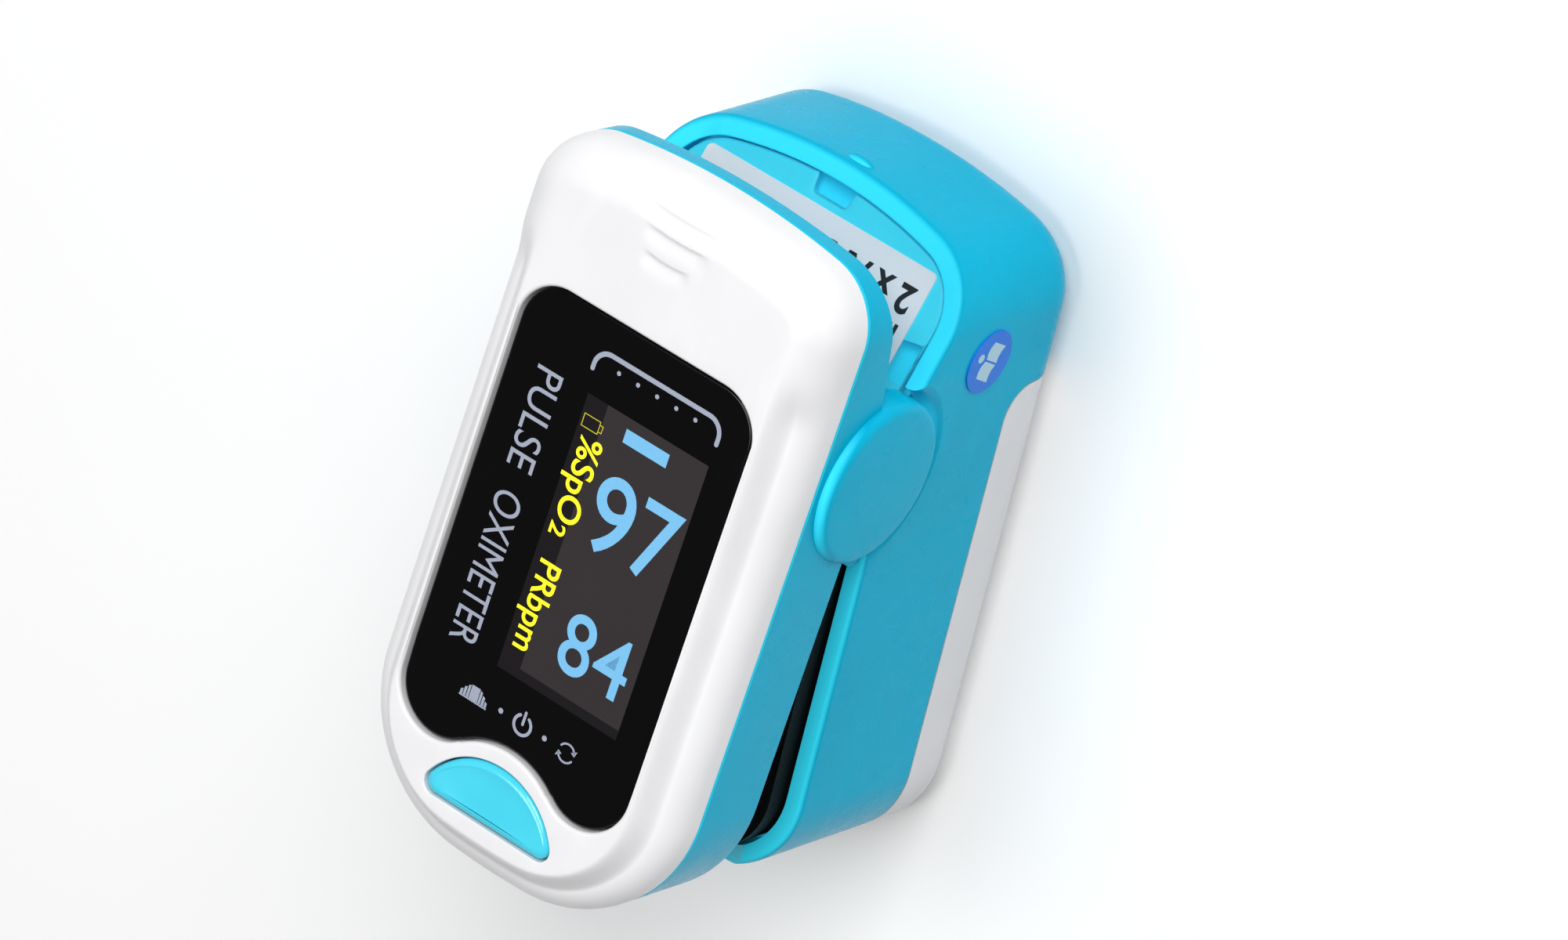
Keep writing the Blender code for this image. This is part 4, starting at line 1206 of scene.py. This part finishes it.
# ---- finger pads ----
def build_pad(name, shape, span, centre, carry, body, node):
    """A silicone block with a round channel for the finger and a hole for the light or the sensor."""
    made = prism(pocket_outline(shape, WALL + 0.3, PAD_END), *span, name)
    if body == "base":
        leaned(made)
    combine(made, "DIFFERENCE", rod(CHANNEL_RADIUS, (0, -45, centre), (0, PAD_END - STOP, centre), 128))
    combine(made, "DIFFERENCE", rod(OPTICS_HOLE, (0, OPTICS_Y, 15), (0, OPTICS_Y, 27), 48))
    piece(made, carry, body, SILICONE, [node]).name = name + "_skin"


def build_ribbon():
    """The CAD cable with its upper end cut back, so that it clears the board when the jaws close."""
    mesh = frame["nodes"]["ribbon_cable"].data.copy()
    cut_back = 0.3 * MM
    top = max(vertex.co.z for vertex in mesh.vertices)
    for vertex in mesh.vertices:
        if vertex.co.z > top - cut_back:
            vertex.co.z -= cut_back
    piece(shown("ribbon_film", mesh), None, "base", RIBBON, ["ribbon_cable"])


channel = CHANNEL_RADIUS - CHANNEL_DEPTH  # from the parting plane to the channel's axis
build_pad("upper_pad", UPPER_PLAN, (HINGE_Z + GAP, UPPER_PAD[1].z), HINGE_Z - channel, JAW, "jaw",
          "upper_finger_pad")
build_pad("lower_pad", LOWER_PLAN, (LOWER_PAD[0].z, RIM), HINGE_Z + channel, BASE, "base",
          "lower_finger_pad")
build_ribbon()


# ---- stage ----
def build_floor():
    mesh = bpy.data.meshes.new("floor")
    mesh.from_pydata([(-3, -3, 0), (3, -3, 0), (3, 3, 0), (-3, 3, 0)], [], [(0, 1, 2, 3)])
    pale = Nodes("floor")
    pale.into("Base Color", pale.blend(pale.noise(30.0), (0.93, 0.93, 0.93), (0.95, 0.95, 0.95)))
    pale.set(Roughness=0.9, Specular_IOR_Level=0.1)
    pale.glow((1, 1, 1), 0.07)
    mesh.materials.append(pale.made)
    floor = shown("floor", mesh)


def area_light(name, place, size, power):
    """A square lamp that faces the object."""
    lamp = bpy.data.lights.new(name, "AREA")
    lamp.size = size
    lamp.energy = power
    holder = shown(name, lamp)
    holder.location = place
    holder.rotation_euler = (Vector((0, 0, 0.02)) - Vector(place)).to_track_quat("-Z", "Y").to_euler()


def build_world(strength):
    world = bpy.data.worlds.new("studio")
    world.use_nodes = True
    background = world.node_tree.nodes["Background"]
    background.inputs["Color"].default_value = (1, 1, 1, 1)
    background.inputs["Strength"].default_value = strength
    bpy.context.scene.world = world
    bpy.context.scene.view_settings.view_transform = "Standard"


def build_camera(right, up_way, place, lens):
    """A camera whose picture runs along these two directions."""
    camera = bpy.data.cameras.new("camera")
    camera.sensor_width = 36.0
    camera.lens = lens
    camera.clip_start = 0.01
    camera.clip_end = 10.0
    holder = shown("camera", camera)
    turn = Matrix((right, up_way, right.cross(up_way).normalized())).transposed()
    holder.matrix_world = Matrix.Translation(place) @ turn.to_4x4()
    bpy.context.scene.camera = holder


build_floor()
area_light("key", (-0.12, 0.12, 0.93), 0.5, 4.7)
area_light("front", (0.3, 0.66, 0.62), 0.5, 6.0)
build_world(0.14)
# The camera looks from above the display's right side, rolled so that the lever end points up.
CAMERA_RIGHT = Vector((0.7613, 0.2121, -0.6127))
CAMERA_UP = Vector((-0.4638, 0.8384, -0.2862))
build_camera(CAMERA_RIGHT, CAMERA_UP, (0.2994, HINGE.y + 0.32132, 0.49725), 213.64)
